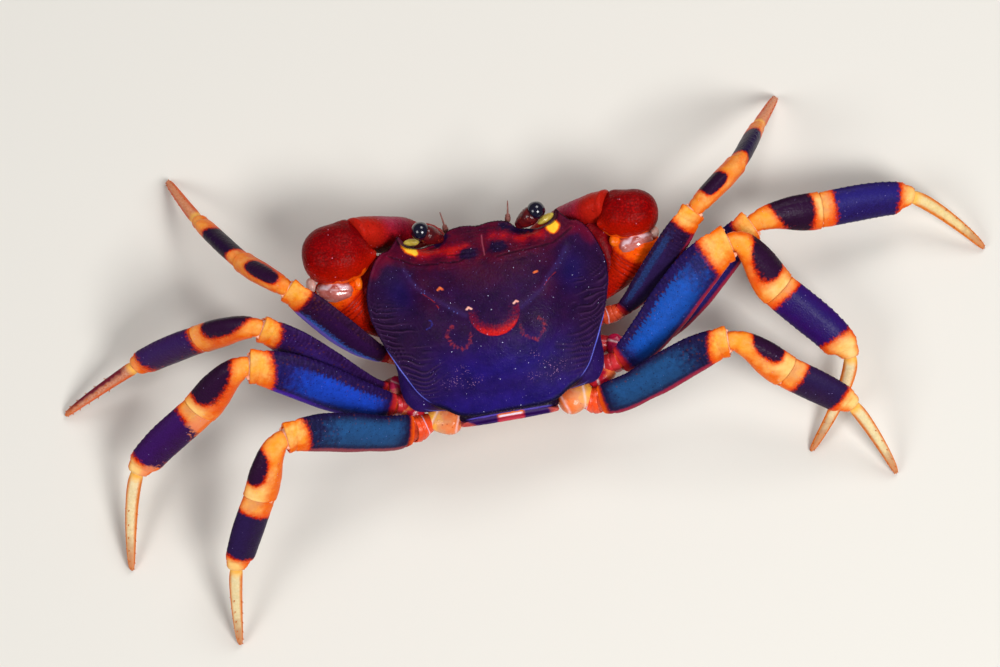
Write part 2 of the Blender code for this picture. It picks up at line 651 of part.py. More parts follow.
def chela_rings(joint, along, tall, thick, profile, scale, facing):
    """Rings of the palm or of a finger; the first ones turn onto the joint's plane."""
    rings = []
    reach = profile[-1][0]
    for distance, upper, lower, depth in profile:
        lean = facing.lerp(along, blend(0, PALM_TURN, distance / reach)).normalized()
        middle = slid(tall * (upper + lower) / 2 * scale, along, lean)
        centre = joint + along * distance * scale + middle
        high = slid(tall * (upper - lower) / 2 * scale, along, lean)
        deep = slid(thick * depth / 2 * scale, along, lean)
        rings.append(oval(centre, high, deep, CLAW_SIDES))
    return rings


def slid(offset, along, facing):
    """An offset moved along a limb until it lies in the plane that looks along facing."""
    return offset - along * (offset.dot(facing) / along.dot(facing))


def build_chela(side, joint, along, facing, scale, surfaces, group):
    tall = (UP - along * UP.dot(along)).normalized()
    thick = along.cross(tall)
    start = joint + facing * HALF_GAP
    palm = chela_rings(start, along, tall, thick, PALM_PROFILE, scale, facing)
    new_node(f"claw_{side}_palm", loft(palm), surfaces["claw"], group)
    finger = chela_rings(start + along * GAP, along, tall, thick, FINGER_PROFILE, scale, along)
    new_node(f"claw_{side}_finger", loft(finger), surfaces["claw"], group)


def stand_on_origin(parts):
    """Move the model so that the middle of its bounding box is over the origin."""
    low = Vector((math.inf, math.inf, math.inf))
    high = -low
    for part in parts:
        for vert in part.data.vertices:
            low = Vector(map(min, low, vert.co))
            high = Vector(map(max, high, vert.co))
    middle = Vector(((low.x + high.x) / 2, (low.y + high.y) / 2, 0))
    for part in parts:
        part.data.transform(Matrix.Translation(-middle))


def main():
    clear_scene()
    group = new_collection("tree_climbing_crab")
    cutters = new_collection("cutters")
    surfaces = {name: material(name) for name in COLOURS}
    build_shell(surfaces, group, cutters)
    build_thorax(surfaces, group, cutters)
    build_pleon(surfaces, group)
    for side in SIDES:
        build_mouth_cover(side, surfaces, group)
        build_eye(side, surfaces, group)
        build_feeler(side, surfaces, group)
        build_claw(side, surfaces, group)
        for number in LEG_ROOTS:
            build_leg(side, number, surfaces, group)
    stand_on_origin(list(group.objects))


main()
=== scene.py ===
"""A Sri Lanka tree-climbing crab as a still, life-size model, dressed over its solids.

Forms are worked out in millimetres about the middle of the shell: +X to the crab's left, -Y ahead
of its face, +Z up, and the floor at z = 0.  The new pieces follow the solids' own measures.
"""

import math

import bpy
import numpy as np
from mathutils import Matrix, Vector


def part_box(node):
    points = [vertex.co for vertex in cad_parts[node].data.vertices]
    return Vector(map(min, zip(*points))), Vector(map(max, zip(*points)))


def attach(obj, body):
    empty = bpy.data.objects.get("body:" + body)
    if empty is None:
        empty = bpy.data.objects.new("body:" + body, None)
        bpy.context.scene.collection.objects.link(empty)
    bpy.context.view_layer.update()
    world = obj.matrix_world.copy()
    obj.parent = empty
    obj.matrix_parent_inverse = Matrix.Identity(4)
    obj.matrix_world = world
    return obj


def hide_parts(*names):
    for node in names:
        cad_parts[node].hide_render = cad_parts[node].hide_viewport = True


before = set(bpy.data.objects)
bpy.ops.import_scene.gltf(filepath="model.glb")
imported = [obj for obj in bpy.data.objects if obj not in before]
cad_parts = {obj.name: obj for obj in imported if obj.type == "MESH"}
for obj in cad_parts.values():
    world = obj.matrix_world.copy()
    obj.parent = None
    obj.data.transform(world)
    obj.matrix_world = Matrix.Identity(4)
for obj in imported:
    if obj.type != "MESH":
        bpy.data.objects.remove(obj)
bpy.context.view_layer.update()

MM = 0.001
SIDES = ("left", "right")
UP = np.array((0.0, 0.0, 1.0))
ACROSS = np.array((1.0, 0.0, 0.0))
FACE_TIP_Y = -12.75
SHELL_LOW, SHELL_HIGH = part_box("carapace")
SHIFT = np.array(((SHELL_LOW.x + SHELL_HIGH.x) / 2, SHELL_LOW.y - FACE_TIP_Y * MM, 0.0))

# Shell: heights of its levels, and the left half of its margin from the brow round to the rear.
DOME_TOP_Z = 18.7
BROW_Z = 15.0
ORBIT_TOOTH_Z = 14.7
SIDE_RIM_Z = 13.2
REAR_RIM_Z = 12.8
DOME_POWER = 2.25
SHELL_CENTRE = np.array((0.0, -1.5))
HALF_MARGIN = (
    (0.0, -12.45), (1.3, -12.65), (2.6, -12.65), (3.8, -12.3), (4.7, -11.5), (5.8, -11.0),
    (7.2, -10.95), (8.5, -11.4), (9.3, -12.1), (9.9, -12.75), (10.6, -12.1), (11.4, -11.3),
    (12.5, -11.0), (13.6, -9.8), (14.5, -7.9), (15.0, -5.8), (14.9, -3.7), (14.3, -1.5),
    (13.5, 0.8), (12.6, 2.8), (11.6, 4.8), (10.6, 6.6), (9.3, 8.0), (7.8, 9.0), (6.3, 10.0),
    (4.6, 10.45), (2.4, 10.5), (0.0, 10.5),
)
ORBIT_CENTRE = (7.3, -12.6, 15.7)
ORBIT_RADII = (2.8, 1.9, 2.3)
SHELL_SWELLINGS = {
    "gill chamber": ((8.6, -1.5), (5.0, 6.5), 0.35),
    "heart groove": ((4.6, 1.6), (1.6, 2.6), -0.3),
    "neck groove": ((7.8, -5.4), (3.4, 1.3), -0.2),
    "brow lobe": ((1.9, -9.6), (1.7, 1.0), 0.25),
    "brow groove": ((0.0, -9.4), (0.7, 2.2), -0.25),
}
EDGE_SHARE = 0.7
RELIEF_POWER = 6
MARGIN_SPACING = 1.5
MARGIN_DETAIL = 11
REAR_FALL = (2.0, 9.0)
FRONT_RISE = (-7.0, -12.0)
BROW_SPAN = (6.0, 3.0)
FACE_ZONE = (-10.2, -11.8)
ARM_ZONE = (-1.5, -4.5)
FLANK_ZONE = (1.0, 6.5)
REAR_ZONE = (7.0, 9.5)

# Walls below the margin: share of the margin's reach, and height, beside the legs, behind the
# arms, in the face, along the flanks and at the rear.
SHELL_WALL = (
    ((1.0, 12.3), (0.985, 12.7), (0.975, 14.0), (1.08, 12.3), (1.0, 12.0)),
    ((0.97, 11.4), (0.93, 12.1), (0.88, 12.6), (1.14, 11.4), (0.99, 11.2)),
    ((0.90, 10.5), (0.84, 11.4), (0.80, 8.2), (1.05, 10.8), (0.95, 10.5)),
    ((0.60, 10.3), (0.60, 10.9), (0.60, 9.0), (0.60, 10.3), (0.60, 10.3)),
    ((0.05, 10.0), (0.05, 10.0), (0.05, 10.0), (0.05, 10.0), (0.05, 10.0)),
)
THORAX_WALL = (
    ((0.30, 10.0), (0.30, 10.0), (0.30, 7.8), (0.30, 10.0), (0.30, 10.0)),
    ((0.86, 10.0), (0.79, 10.8), (0.78, 7.6), (0.87, 10.1), (0.93, 10.0)),
    ((0.82, 8.6), (0.74, 8.8), (0.76, 6.8), (0.83, 8.6), (0.91, 8.0)),
    ((0.74, 6.4), (0.68, 6.4), (0.68, 5.6), (0.74, 6.4), (0.80, 6.2)),
    ((0.58, 5.0), (0.54, 5.0), (0.52, 4.9), (0.58, 5.0), (0.56, 4.95)),
    ((0.30, 4.6), (0.28, 4.6), (0.28, 4.6), (0.30, 4.6), (0.30, 4.6)),
    ((0.03, 4.5), (0.03, 4.5), (0.03, 4.5), (0.03, 4.5), (0.03, 4.5)),
)

# Walking legs, front to rear.
GAP = 0.3
LEG_PARTS = ("base", "merus", "carpus", "propodus", "dactyl")
LEG_ROOTS = {1: (10.7, 0.2, 7.3), 2: (10.1, 3.1, 7.3), 3: (8.7, 5.9, 7.3), 4: (6.5, 8.4, 7.4)}
LEG_LENGTHS = {1: (16.5, 8.4, 10.0, 10.8), 2: (20.0, 9.2, 12.4, 12.6),
               3: (20.0, 9.4, 12.6, 13.4), 4: (18.0, 8.6, 10.4, 12.0)}
LEG_WIDTHS = {1: (4.7, 3.6, 3.3, 1.9), 2: (5.6, 4.2, 3.9, 2.0),
              3: (6.2, 4.3, 4.0, 2.0), 4: (5.7, 4.0, 3.7, 1.9)}
BASE_SIZE = (3.5, 2.6)
# Hip place; swing ahead of the side and lift of merus, carpus and propodus, in degrees; swing of
# the dactyl; and how far the upper edge of the merus tips forward.
LEG_STANCE = {
    ("left", 1): ((13.5, 0.4, 7.7), ((39, 32), (46, -31), (56, -29)), 65, 34),
    ("left", 2): ((14.6, 4.4, 7.7), ((30, 38), (7, -32), (-3, -44)), -19, 26),
    ("left", 3): ((14.0, 7.0, 9.4), ((21, 28), (-24, -33), (-31, -33)), -74, 43),
    ("left", 4): ((12.2, 10.4, 9.2), ((1, 31), (-52, -30), (-60, -35)), -80, 38),
    ("right", 1): ((-16.0, -0.1, 8.7), ((41, 32), (39, -13), (53, -44)), 53, 38),
    ("right", 2): ((-18.0, 4.0, 7.0), ((36, 9), (7, -9), (-1, -13)), -39, 56),
    ("right", 3): ((-14.7, 6.3, 9.3), ((36, 15), (-44, -29), (-53, -18)), -122, 60),
    ("right", 4): ((-11.5, 10.6, 8.4), ((12, 21), (-32, -21), (-34, -27)), -61, 43),
}
PROFILES = {
    "base": ((0, 0.9, 0.9), (0.25, 1.0, 1.02), (0.45, 0.95, 0.92), (0.53, 0.84, 0.8),
             (0.6, 0.88, 0.82), (0.78, 0.9, 0.8), (0.95, 0.82, 0.7), (1, 0.8, 0.66)),
    "merus": ((0, 0.46, 0.72), (0.14, 0.64, 0.85), (0.3, 0.88, 1.0), (0.5, 1.0, 1.0),
              (0.72, 0.97, 1.0), (0.88, 0.84, 1.04), (1, 0.72, 1.0)),
    "carpus": ((0, 0.6, 0.75), (0.15, 0.72, 0.9), (0.4, 0.88, 1.0), (0.68, 1.0, 1.06),
               (0.88, 1.0, 1.02), (1, 0.97, 1.0)),
    "propodus": ((0, 1.0, 0.98), (0.14, 1.04, 1.02), (0.4, 1.04, 1.02), (0.68, 0.98, 0.98),
                 (0.82, 0.93, 0.94), (0.92, 0.78, 0.86), (1, 0.62, 0.78)),
    "dactyl": ((0, 0.8, 0.86), (0.1, 0.9, 0.96), (0.35, 0.8, 0.84), (0.6, 0.62, 0.7),
               (0.8, 0.44, 0.54), (0.93, 0.27, 0.33), (1, 0.15, 0.17)),
}
# Extra reach of the lower side of each carpus and propodus, then thickness and width, as shares.
BELLIES = {
    ("left", 1): (0.15, 1.2, 1.0), ("left", 2): (0.06, 1.0, 1.0), ("left", 3): (0.24, 1.0, 1.0),
    ("left", 4): (0.28, 1.08, 1.0), ("right", 1): (0.2, 1.15, 0.95),
    ("right", 2): (0.5, 1.0, 0.93), ("right", 3): (0.62, 1.0, 0.88),
    ("right", 4): (0.36, 1.08, 0.98),
}
# Direction that the backs of the leg lengths face.
ABOVE = np.array((0.03, 0.171, 0.985))
THICKNESS_SHARES = {"merus": 0.38, "carpus": 0.62, "propodus": 0.56, "dactyl": 0.85}
CRESTS = {"base": 0.0, "merus": 0.3, "carpus": 0.1, "propodus": 0.15, "dactyl": 0.0}
KNEE_SHARE = 0.68
SWEEP = 0.75
FOOT_SWEEP = 0.3
# How much the end of a leg's second length and the root of its merus widen.
FLARES = {1: 0.1, 2: 0.15, 3: 0.4, 4: 0.9}
# Spines of a dactyl: turns of their rows, length, and reach and radius of their rings.
SPINE_TURNS = (0.8, 2.3, -0.8, -2.3)
SPINE_LENGTH = 0.3
SPINE_RINGS = ((-0.1, 0.085), (0.35, 0.06), (0.8, 0.03), (1.0, 0.008))
# Joint skins: offset along each length and share of its end ring.
BRIDGE_START = ((-0.35, 0.4), (-0.35, 0.8), (-0.1, 0.86))
BRIDGE_END = ((-0.02, 0.92), (0.2, 0.86), (0.25, 0.43))
# Hinge knobs: the length that carries each, the turn from its upper edge and the size.
HINGE_KNOBS = (("merus", 180, 0.36), ("merus", 0, 0.26), ("carpus", 180, 0.22),
               ("propodus", 180, 0.26), ("propodus", 0, 0.24))
# Rings along and points round each length.
LEG_MESH = {"base": (60, 48), "merus": (170, 84), "carpus": (100, 72),
            "propodus": (110, 72), "dactyl": (100, 40)}

# Claws.
CLAWS = {
    "left": {"root": (10.6, -2.8, 7.2), "elbow": (18.4, -9.3, 11.8), "wrist": (17.8, -12.2, 13.6),
             "radii": (4.2, 3.75, 3.6), "palm": (14.8, -14.35, 13.4), "scale": 0.94,
             "swing": 0.0, "fall": 48.0, "sac": ((18.7, -7.85, 13.0), (2.25, 1.45, 1.15), -8),
             "outer_knob": ((21.5, -9.1, 12.6), (0.62, 0.95, 0.75)),
             "inner_knob": ((15.7, -8.4, 12.8), (0.5, 0.95, 0.7))},
    "right": {"root": (-10.6, -2.8, 7.2), "elbow": (-19.2, -8.6, 11.8),
              "wrist": (-18.8, -11.0, 13.5),
              "radii": (3.7, 2.95, 3.4), "palm": (-16.0, -12.6, 13.3), "scale": 0.88,
              "swing": -3.0, "fall": 50.0, "sac": ((-19.15, -7.5, 12.9), (2.2, 1.35, 1.1), 12),
              "outer_knob": ((-21.6, -8.4, 12.6), (0.6, 0.75, 0.7)),
              "inner_knob": ((-16.6, -8.1, 12.8), (0.7, 0.75, 0.7))},
}
# Line of the arm's inner lobe: place, width and depth.
FOLD_LINES = {
    "left": ((15.0, -5.6, 10.2, 1.6, 1.6), (14.7, -8.0, 11.0, 2.2, 2.0),
             (14.0, -10.0, 11.4, 2.6, 2.2), (12.9, -11.6, 11.6, 2.4, 2.4)),
    "right": ((-15.5, -4.6, 10.2, 1.6, 1.6), (-15.4, -7.0, 11.0, 2.2, 2.0),
              (-14.8, -9.2, 11.6, 2.8, 2.2), (-13.6, -10.9, 11.8, 2.6, 2.4)),
}
ARM_FACING = (1.0, 0.15, 0.1)
ELBOW_FACING = (0.15, -0.80, 0.58)
ARM_CREST = 0.1
ARM_BANDS = (0.6, 0.655, 0.7, 0.74)
BLOCK_POWER = 0.86
# Tooth and front corner of the wrist, from its middle.
WRIST_TOOTH = (-4.0, 1.2, 0.6)
WRIST_CORNER = (-1.6, -3.3, 0.8)
PALM_TURN = 0.25
ARM_PROFILE = ((0, 3.0, 2.6), (0.15, 3.0, 2.7), (0.35, 3.5, 3.5), (0.6, 4.5, 4.9),
               (0.85, 5.3, 6.2), (1, 5.0, 6.0))
PALM_PROFILE = ((0, 2.7, -2.3, 4.0), (1.4, 3.2, -2.9, 4.4), (3.8, 3.65, -3.4, 4.6),
                (6.6, 3.9, -3.6, 4.6), (8.8, 3.5, -3.5, 4.0), (9.4, 3.2, -3.45, 3.8),
                (9.75, -0.4, -3.4, 3.2), (11.2, -0.9, -3.15, 2.7), (12.4, -0.75, -2.8, 2.4),
                (13.6, -1.05, -2.4, 2.0), (14.8, -0.7, -1.9, 1.6), (15.9, -0.75, -1.4, 1.1),
                (16.8, -0.5, -0.9, 0.6))
FINGER_PROFILE = ((9.75, 3.1, 0.2, 2.9), (10.8, 3.35, 0.1, 2.8), (12.0, 3.1, 0.35, 2.5),
                  (13.2, 2.7, 0.2, 2.1), (14.5, 2.0, 0.35, 1.7), (15.6, 1.25, 0.15, 1.2),
                  (16.7, 0.35, -0.05, 0.6))

# Eyes, feelers, mouth covers and pleon.
EYE_ROOT = (4.9, -11.72, 15.25)
EYE_TOP = (6.85, -12.5, 16.7)
EYE_PROFILE = ((0, 0.55), (0.36, 0.86), (0.72, 1.0), (0.89, 0.96), (1, 0.84))
CORNEA_CENTRE = (7.15, -12.72, 16.95)
STALK_WIDTH = 2.3
CORNEA_RADIUS = 1.166
EYE_SHIFTS = {"left": np.array((-0.1, 0.1, 0)), "right": np.array((-0.25, 0, 0))}
ORBIT_PADS = {"left": ((8.35, -11.85, 14.8), (0.95, 0.42, 0.45), -6),
              "right": ((-8.5, -11.95, 14.8), (1.15, 0.46, 0.45), 24)}
FEELER_ROOT = (3.9, -12.75, 14.2)
FEELER_TIP = (4.25, -14.9, 15.3)
FEELER_WIDTH = 0.6
FEELER_PROFILE = ((0, 1.2), (0.1, 1.25), (0.14, 1.0), (0.18, 1.1), (0.25, 0.95), (0.29, 0.6),
                  (0.33, 0.4), (0.6, 0.3), (0.85, 0.24), (1, 0.18))
MOUTH_TOP = (1.75, -12.3, 11.8)
MOUTH_BOTTOM = (1.75, -10.6, 5.8)
MOUTH_SIZE = (3.1, 1.0)
MOUTH_PROFILE = ((0, 0.8), (0.12, 0.98), (0.5, 1.0), (0.85, 0.9), (1, 0.6))
PLEON_LINE = ((10.95, 11.25, 6.0, 0.95), (11.0, 10.4, 6.1, 1.0), (10.8, 9.0, 5.2, 1.2),
              (10.1, 7.0, 4.6, 1.2), (8.2, 5.1, 4.4, 1.0), (5.4, 4.0, 3.9, 0.9),
              (2.0, 3.65, 3.1, 0.9), (-1.6, 3.6, 2.2, 0.9), (-4.4, 3.65, 1.2, 0.8))
PLEON_SUTURES = (0.12, 0.25, 0.38, 0.52, 0.66, 0.81)
PLEON_SWELLS = (0.06, 0.18, 0.31, 0.45, 0.59, 0.74, 0.92)
BREAST_GROOVES = (-6.2, -3.2, -0.3, 2.6, 5.4)

# Markings of the shell: x, y and reach of soft spots, and lines through places.
MARK_SPOTS = {
    "red": (
        (7.8, -10.3, 0.8), (6.9, -9.8, 0.8), (5.7, -9.9, 0.8), (4.6, -9.9, 0.8), (3.6, -9.7, 0.7),
        (2.7, -9.6, 0.7), (1.8, -9.9, 0.6), (3.9, -9.0, 0.6), (7.0, -10.4, 0.6),
        (-7.7, -10.0, 0.8), (-6.8, -10.1, 0.8), (-5.8, -10.2, 0.7), (-4.4, -10.0, 0.7),
        (-2.9, -10.5, 0.8), (-1.6, -10.7, 0.7), (-5.2, -9.5, 0.6)),
    "dark": (
        (1.2, -8.8, 0.9), (2.2, -8.7, 0.8), (-1.5, -9.0, 0.9), (-2.5, -9.0, 0.8),
        (5.3, -11.1, 0.7), (4.3, -11.7, 0.7), (-3.1, -11.9, 0.7), (-4.4, -11.4, 0.8),
        (-5.5, -11.0, 0.7), (-6.5, -10.9, 0.5)),
    "yellow": (
        (9.35, -11.5, 0.35), (8.9, -10.95, 0.5), (8.45, -10.65, 0.5), (8.1, -10.15, 0.35),
        (-8.9, -10.7, 0.6), (-9.4, -10.8, 0.6), (-9.1, -10.2, 0.4)),
    "navy": ((11.9, -6.8, 2.3), (10.8, -5.0, 2.0), (-11.6, -6.2, 2.3), (-10.4, -4.2, 2.0)),
    "maroon": (
        (8.1, -6.3, 1.5), (7.4, -3.6, 1.5), (-7.6, -6.6, 1.4), (-7.2, -3.0, 1.3),
        (0.3, -5.5, 1.8), (3.0, -6.8, 2.4), (-3.0, -6.8, 2.4)),
}
MARK_LINES = {
    "crimson": (((11.6, -10.3), (12.7, -10.1), (13.6, -8.9)),
                ((-11.6, -10.2), (-12.7, -10.0), (-13.6, -8.8))),
    "neck": (((9.9, -8.5), (9.3, -6.9), (8.6, -5.7), (6.9, -3.9), (5.1, -2.3), (3.4, -1.0)),
             ((-10.3, -7.8), (-9.2, -6.2), (-7.8, -4.7), (-6.4, -2.8), (-5.1, -1.9),
              (-3.5, -0.8))),
    "dashes": (((8.2, -4.95), (7.5, -4.2), (6.85, -3.4)), ((6.7, -3.0), (6.5, -2.6)),
               ((-8.5, -4.8), (-7.6, -4.1), (-6.8, -3.2))),
    "crest": (((11.4, -10.5), (10.6, -10.0), (9.9, -9.7), (9.0, -9.0), (8.1, -8.6), (6.7, -8.3),
               (5.6, -8.1)), ((5.3, -8.3), (4.2, -8.0), (3.0, -7.9), (2.3, -8.2)),
              ((4.1, -9.0), (3.1, -8.8), (2.2, -8.9)),
              ((-1.7, -7.7), (-3.8, -8.0), (-5.8, -8.1), (-7.4, -8.3), (-8.9, -8.6),
               (-10.0, -9.3), (-11.4, -10.2))),
    "pearls": (((2.6, -1.65), (2.9, -1.9), (3.15, -1.7)),
               ((-2.65, -1.45), (-2.95, -1.7), (-3.15, -1.6))),
    "ambers": (((5.65, -4.8), (5.9, -5.05), (6.2, -4.85)), ((-5.8, -4.95), (-6.15, -5.05))),
    "hook": (((7.85, -1.35), (7.65, -1.2), (7.6, -0.8), (7.9, -0.5), (8.4, -0.4)),),
    "middle": (((-0.3, -11.1), (-0.2, -10.0), (-0.2, -8.3)),),
    "hairs": (((7.2, 6.3), (6.6, 6.6), (5.4, 5.9)), ((4.9, 6.7), (3.8, 6.9), (2.8, 6.7)),
              ((4.6, 5.4), (5.4, 5.0)), ((-4.1, 7.3), (-3.3, 7.3)),
              ((-5.1, 6.0), (-6.4, 6.4), (-7.6, 6.3)), ((-4.0, 4.7), (-5.0, 5.8)),
              ((-6.6, 7.0), (-5.6, 7.4))),
}
RING_LINES = (
    ((5.2, 0.0), (5.9, 0.4), (6.1, 1.0), (5.7, 1.9), (4.8, 2.6), (4.1, 2.9), (3.4, 2.3),
     (3.2, 1.4)),
    ((-5.4, 0.7), (-6.0, 1.3), (-5.7, 2.2), (-4.8, 3.2), (-4.0, 3.0), (-3.1, 2.3), (-3.0, 1.3)),
)
RING_MIDDLES = ((4.6, 1.3), (-4.5, 1.8))
BROW_CREST = ((1.9, -7.8), (3.4, -7.95), (5.2, -8.05), (7.0, -8.3), (8.5, -8.7), (9.95, -9.6),
              (11.6, -10.5))
CRESCENT_MIDDLE = (-0.1, -1.1)
CRESCENT_REACH = 3.25

# Swollen leg roots: both ends of each, its width and its depth.
COXAE = {
    ("left", 2): ((13.15, 3.3, 8.9), (13.4, 6.1, 8.3), 1.75, 1.9),
    ("left", 3): ((10.4, 8.7, 8.8), (13.2, 7.2, 8.8), 2.6, 2.6),
    ("left", 4): ((10.0, 8.9, 8.7), (5.8, 10.25, 9.2), 4.0, 3.4),
    ("right", 2): ((-14.5, 2.7, 8.7), (-14.8, 6.4, 8.2), 2.4, 2.1),
    ("right", 3): ((-10.6, 8.7, 8.8), (-13.8, 6.5, 8.8), 2.7, 2.6),
    ("right", 4): ((-10.6, 8.9, 8.7), (-6.3, 10.3, 9.2), 4.1, 3.4),
}

# Camera and lights.
VIEW_AZIMUTH = 170.0
VIEW_ELEVATION = 80.0
VIEW_DISTANCE = 430.0
VIEW_TARGET = (-0.66, 0.12, 8.0)
VIEW_LENS = 123.8
# Name, azimuth, elevation, size and power of the lights.
LIGHTS = (("key light", 215, 55, 0.16, 1.5), ("fill light", 105, 48, 0.18, 0.65),
          ("front light", 330, 52, 0.18, 0.7))
LIGHT_DISTANCE = 0.45
FLOOR_REACH, FLOOR_Z = 1.5, -0.00002


def unit(vector):
    return vector / np.maximum(np.linalg.norm(vector, axis=-1, keepdims=True), 1e-12)


def smooth(low, high, value):
    """Smooth step from 0 at low to 1 at high."""
    share = np.clip((value - low) / (high - low), 0, 1)
    return share * share * (3 - 2 * share)


def bell(value, width):
    return np.exp(-((value / width) ** 2))


def powered(value, power):
    """A power that keeps the sign."""
    return np.sign(value) * np.abs(value) ** power


def off_whole(phase):
    """How far each number is from the nearest whole one."""
    share = phase - np.floor(phase)
    return np.minimum(share, 1 - share)


def beads(distance, period):
    """Row of beads: 1 on each and 0 between them."""
    return np.clip(np.cos(distance * math.tau / period), 0, 1)


def handed(side):
    return 1 if side == "left" else -1


def mirrored(point, side):
    return np.array(point, float) * (handed(side), 1, 1)


def turned(side, swing, lift):
    """Direction of a limb length of that side from its swing ahead and its lift, in degrees."""
    swing, lift = math.radians(swing), math.radians(lift)
    level = math.cos(lift)
    return np.array((level * math.cos(swing) * handed(side), -level * math.sin(swing),
                     math.sin(lift)))


def from_view(azimuth, elevation):
    """Direction towards a place that looks at the model from those angles in degrees."""
    return turned("left", 90 - azimuth, elevation)


def along_table(at, places, values):
    """Values of a table at places along it, on a smooth line that never overshoots."""
    places, values = np.asarray(places, float), np.asarray(values, float)
    spread = (-1,) + (1,) * (values.ndim - 1)
    gaps = np.diff(places).reshape(spread)
    slopes = np.diff(values, axis=0) / gaps
    product, total = slopes[:-1] * slopes[1:], slopes[:-1] + slopes[1:]
    inner = np.where(product > 0, 2 * product / np.where(product > 0, total, 1), 0)
    tangents = np.concatenate([slopes[:1], inner, slopes[-1:]])
    k = np.clip(np.searchsorted(places, at, side="right") - 1, 0, len(places) - 2)
    t = (at - places[k]).reshape(spread) / gaps[k]
    return bent(values[k], values[k + 1], tangents[k] * gaps[k], tangents[k + 1] * gaps[k], t)


def bent(start, end, leaving, arriving, t):
    """Places on a curve that leaves and arrives in those directions."""
    return (start * (2 * t ** 3 - 3 * t * t + 1) + leaving * (t ** 3 - 2 * t * t + t)
            + end * (3 * t * t - 2 * t ** 3) + arriving * (t ** 3 - t * t))


def through_four(before, start, end, after, t):
    """Places between start and end on a smooth line through all four."""
    return (2 * start + (end - before) * t + (2 * before - 5 * start + 4 * end - after) * t * t
            + (3 * start - before - 3 * end + after) * t ** 3) / 2


def hashed(cells, seed):
    """Seeded scatter of whole-number cells, from 0 to 1."""
    mixed = cells @ np.array((374761393, 668265263, 362437)) + seed * 974711
    mixed = (mixed ^ (mixed >> 13)) * 1274126177
    return ((mixed ^ (mixed >> 16)) & 0xFFFF) / 65535.0


def cloud(points, size, seed=0):
    """Soft random variation over points, from 0 to 1, with features of that size."""
    scaled = points / size
    cells = np.floor(scaled).astype(np.int64)
    part = smooth(0, 1, scaled - cells)
    total = np.zeros(points.shape[:-1])
    for corner in np.ndindex(2, 2, 2):
        weight = np.prod(np.where(corner, part, 1 - part), axis=-1)
        total += weight * hashed(cells + np.array(corner), seed)
    return total


def granules(points, size, seed=0):
    """Round grains of that size over points: 1 on a grain's top and 0 between grains."""
    scaled = points / size
    cells = np.floor(scaled).astype(np.int64)
    nearest = np.full(points.shape[:-1], 9.0)
    for corner in np.ndindex(3, 3, 3):
        cell = cells + np.array(corner) - 1
        grain = np.stack([hashed(cell, seed + k) for k in (11, 23, 37)], axis=-1) * 0.7 + 0.15
        nearest = np.minimum(nearest, np.sum((cell + grain - scaled) ** 2, axis=-1))
    return np.clip(1 - nearest / 0.36, 0, 1)


def texture(points, grains, waves=None):
    """Height of a rough skin: depth, size and seed of its grains and of its broad waves."""
    depth, size, seed = grains
    rise = depth * granules(points, size, seed)
    if waves:
        depth, size, seed = waves
        rise = rise + depth * (cloud(points, size, seed) - 0.5)
    return rise


def line_distance(points, line):
    """Distance of each point from a line of straight stretches."""
    points, line = np.asarray(points), np.asarray(line, float)
    nearest = np.full(points.shape[:-1], np.inf)
    for start, end in zip(line, line[1:]):
        stretch = end - start
        share = np.clip((points - start) @ stretch / (stretch @ stretch), 0, 1)
        away = np.linalg.norm(points - start - share[..., None] * stretch, axis=-1)
        nearest = np.minimum(nearest, away)
    return nearest


def ring_normals(points):
    """Outward directions of a grid of closed rings."""
    around = np.roll(points, -1, axis=1) - np.roll(points, 1, axis=1)
    return unit(np.cross(around, np.gradient(points, axis=0)))


def raised(points, rise):
    """A grid of closed rings moved outward by that much."""
    return points + ring_normals(points) * rise[..., None]


def turns(count):
    """Places round a ring, with their cosines and sines for a grid of rings."""
    turn = np.linspace(0, math.tau, count, endpoint=False)
    return turn, np.cos(turn)[None, :, None], np.sin(turn)[None, :, None]


def columns(*rows):
    """Numbers by ring, for a grid of points."""
    return [row[:, None, None] for row in rows]


def solid_round(radii, centre=(0, 0, 0), rows=28, count=40, power=1.0):
    """Rings of a rounded body: a ball at power 1 and boxier below it."""
    rise = np.linspace(-math.pi / 2 + 0.02, math.pi / 2 - 0.02, rows)[:, None]
    turn = turns(count)[0][None]
    ball = np.stack([np.cos(rise) * np.cos(turn), np.cos(rise) * np.sin(turn),
                     np.sin(rise) * np.ones_like(turn)], axis=-1)
    return powered(ball, power) * np.array(radii) + np.array(centre)


def spun(points, degrees):
    """Points turned about the upright axis."""
    cos, sin = math.cos(math.radians(degrees)), math.sin(math.radians(degrees))
    return points @ np.array(((cos, sin, 0), (-sin, cos, 0), (0, 0, 1)))


class Skin:
    """Points, faces and named values of one surface, in millimetres."""

    def __init__(self, points, faces, values):
        self.points = points.reshape(-1, 3)
        self.faces = faces
        self.values = {name: np.broadcast_to(value, points.shape[:-1]).reshape(-1)
                       for name, value in values.items()}


def tube(points, values, inward=False):
    """The skin of a grid of closed rings, with a flat cap at each end."""
    rows, count = points.shape[:2]
    here = np.arange((rows - 1) * count).reshape(-1, count)
    after = np.roll(here, -1, axis=1)
    faces = np.stack([here, after, after + count, here + count], axis=-1).reshape(-1, 4).tolist()
    faces += [list(range(count))[::-1], list(range((rows - 1) * count, rows * count))]
    return Skin(points, [face[::-1] for face in faces] if inward else faces, values)


def together(skins):
    """Several skins as one."""
    faces, start = [], 0
    for skin in skins:
        faces += [[index + start for index in face] for face in skin.faces]
        start += len(skin.points)
    values = {name: np.concatenate([skin.values.get(name, np.zeros(len(skin.points)))
                                    for skin in skins]) for name in skins[0].values}
    return Skin(np.concatenate([skin.points for skin in skins]), faces, values)


def placed(name, data):
    """An object in the scene."""
    made = bpy.data.objects.new(name, data)
    bpy.context.scene.collection.objects.link(made)
    return made


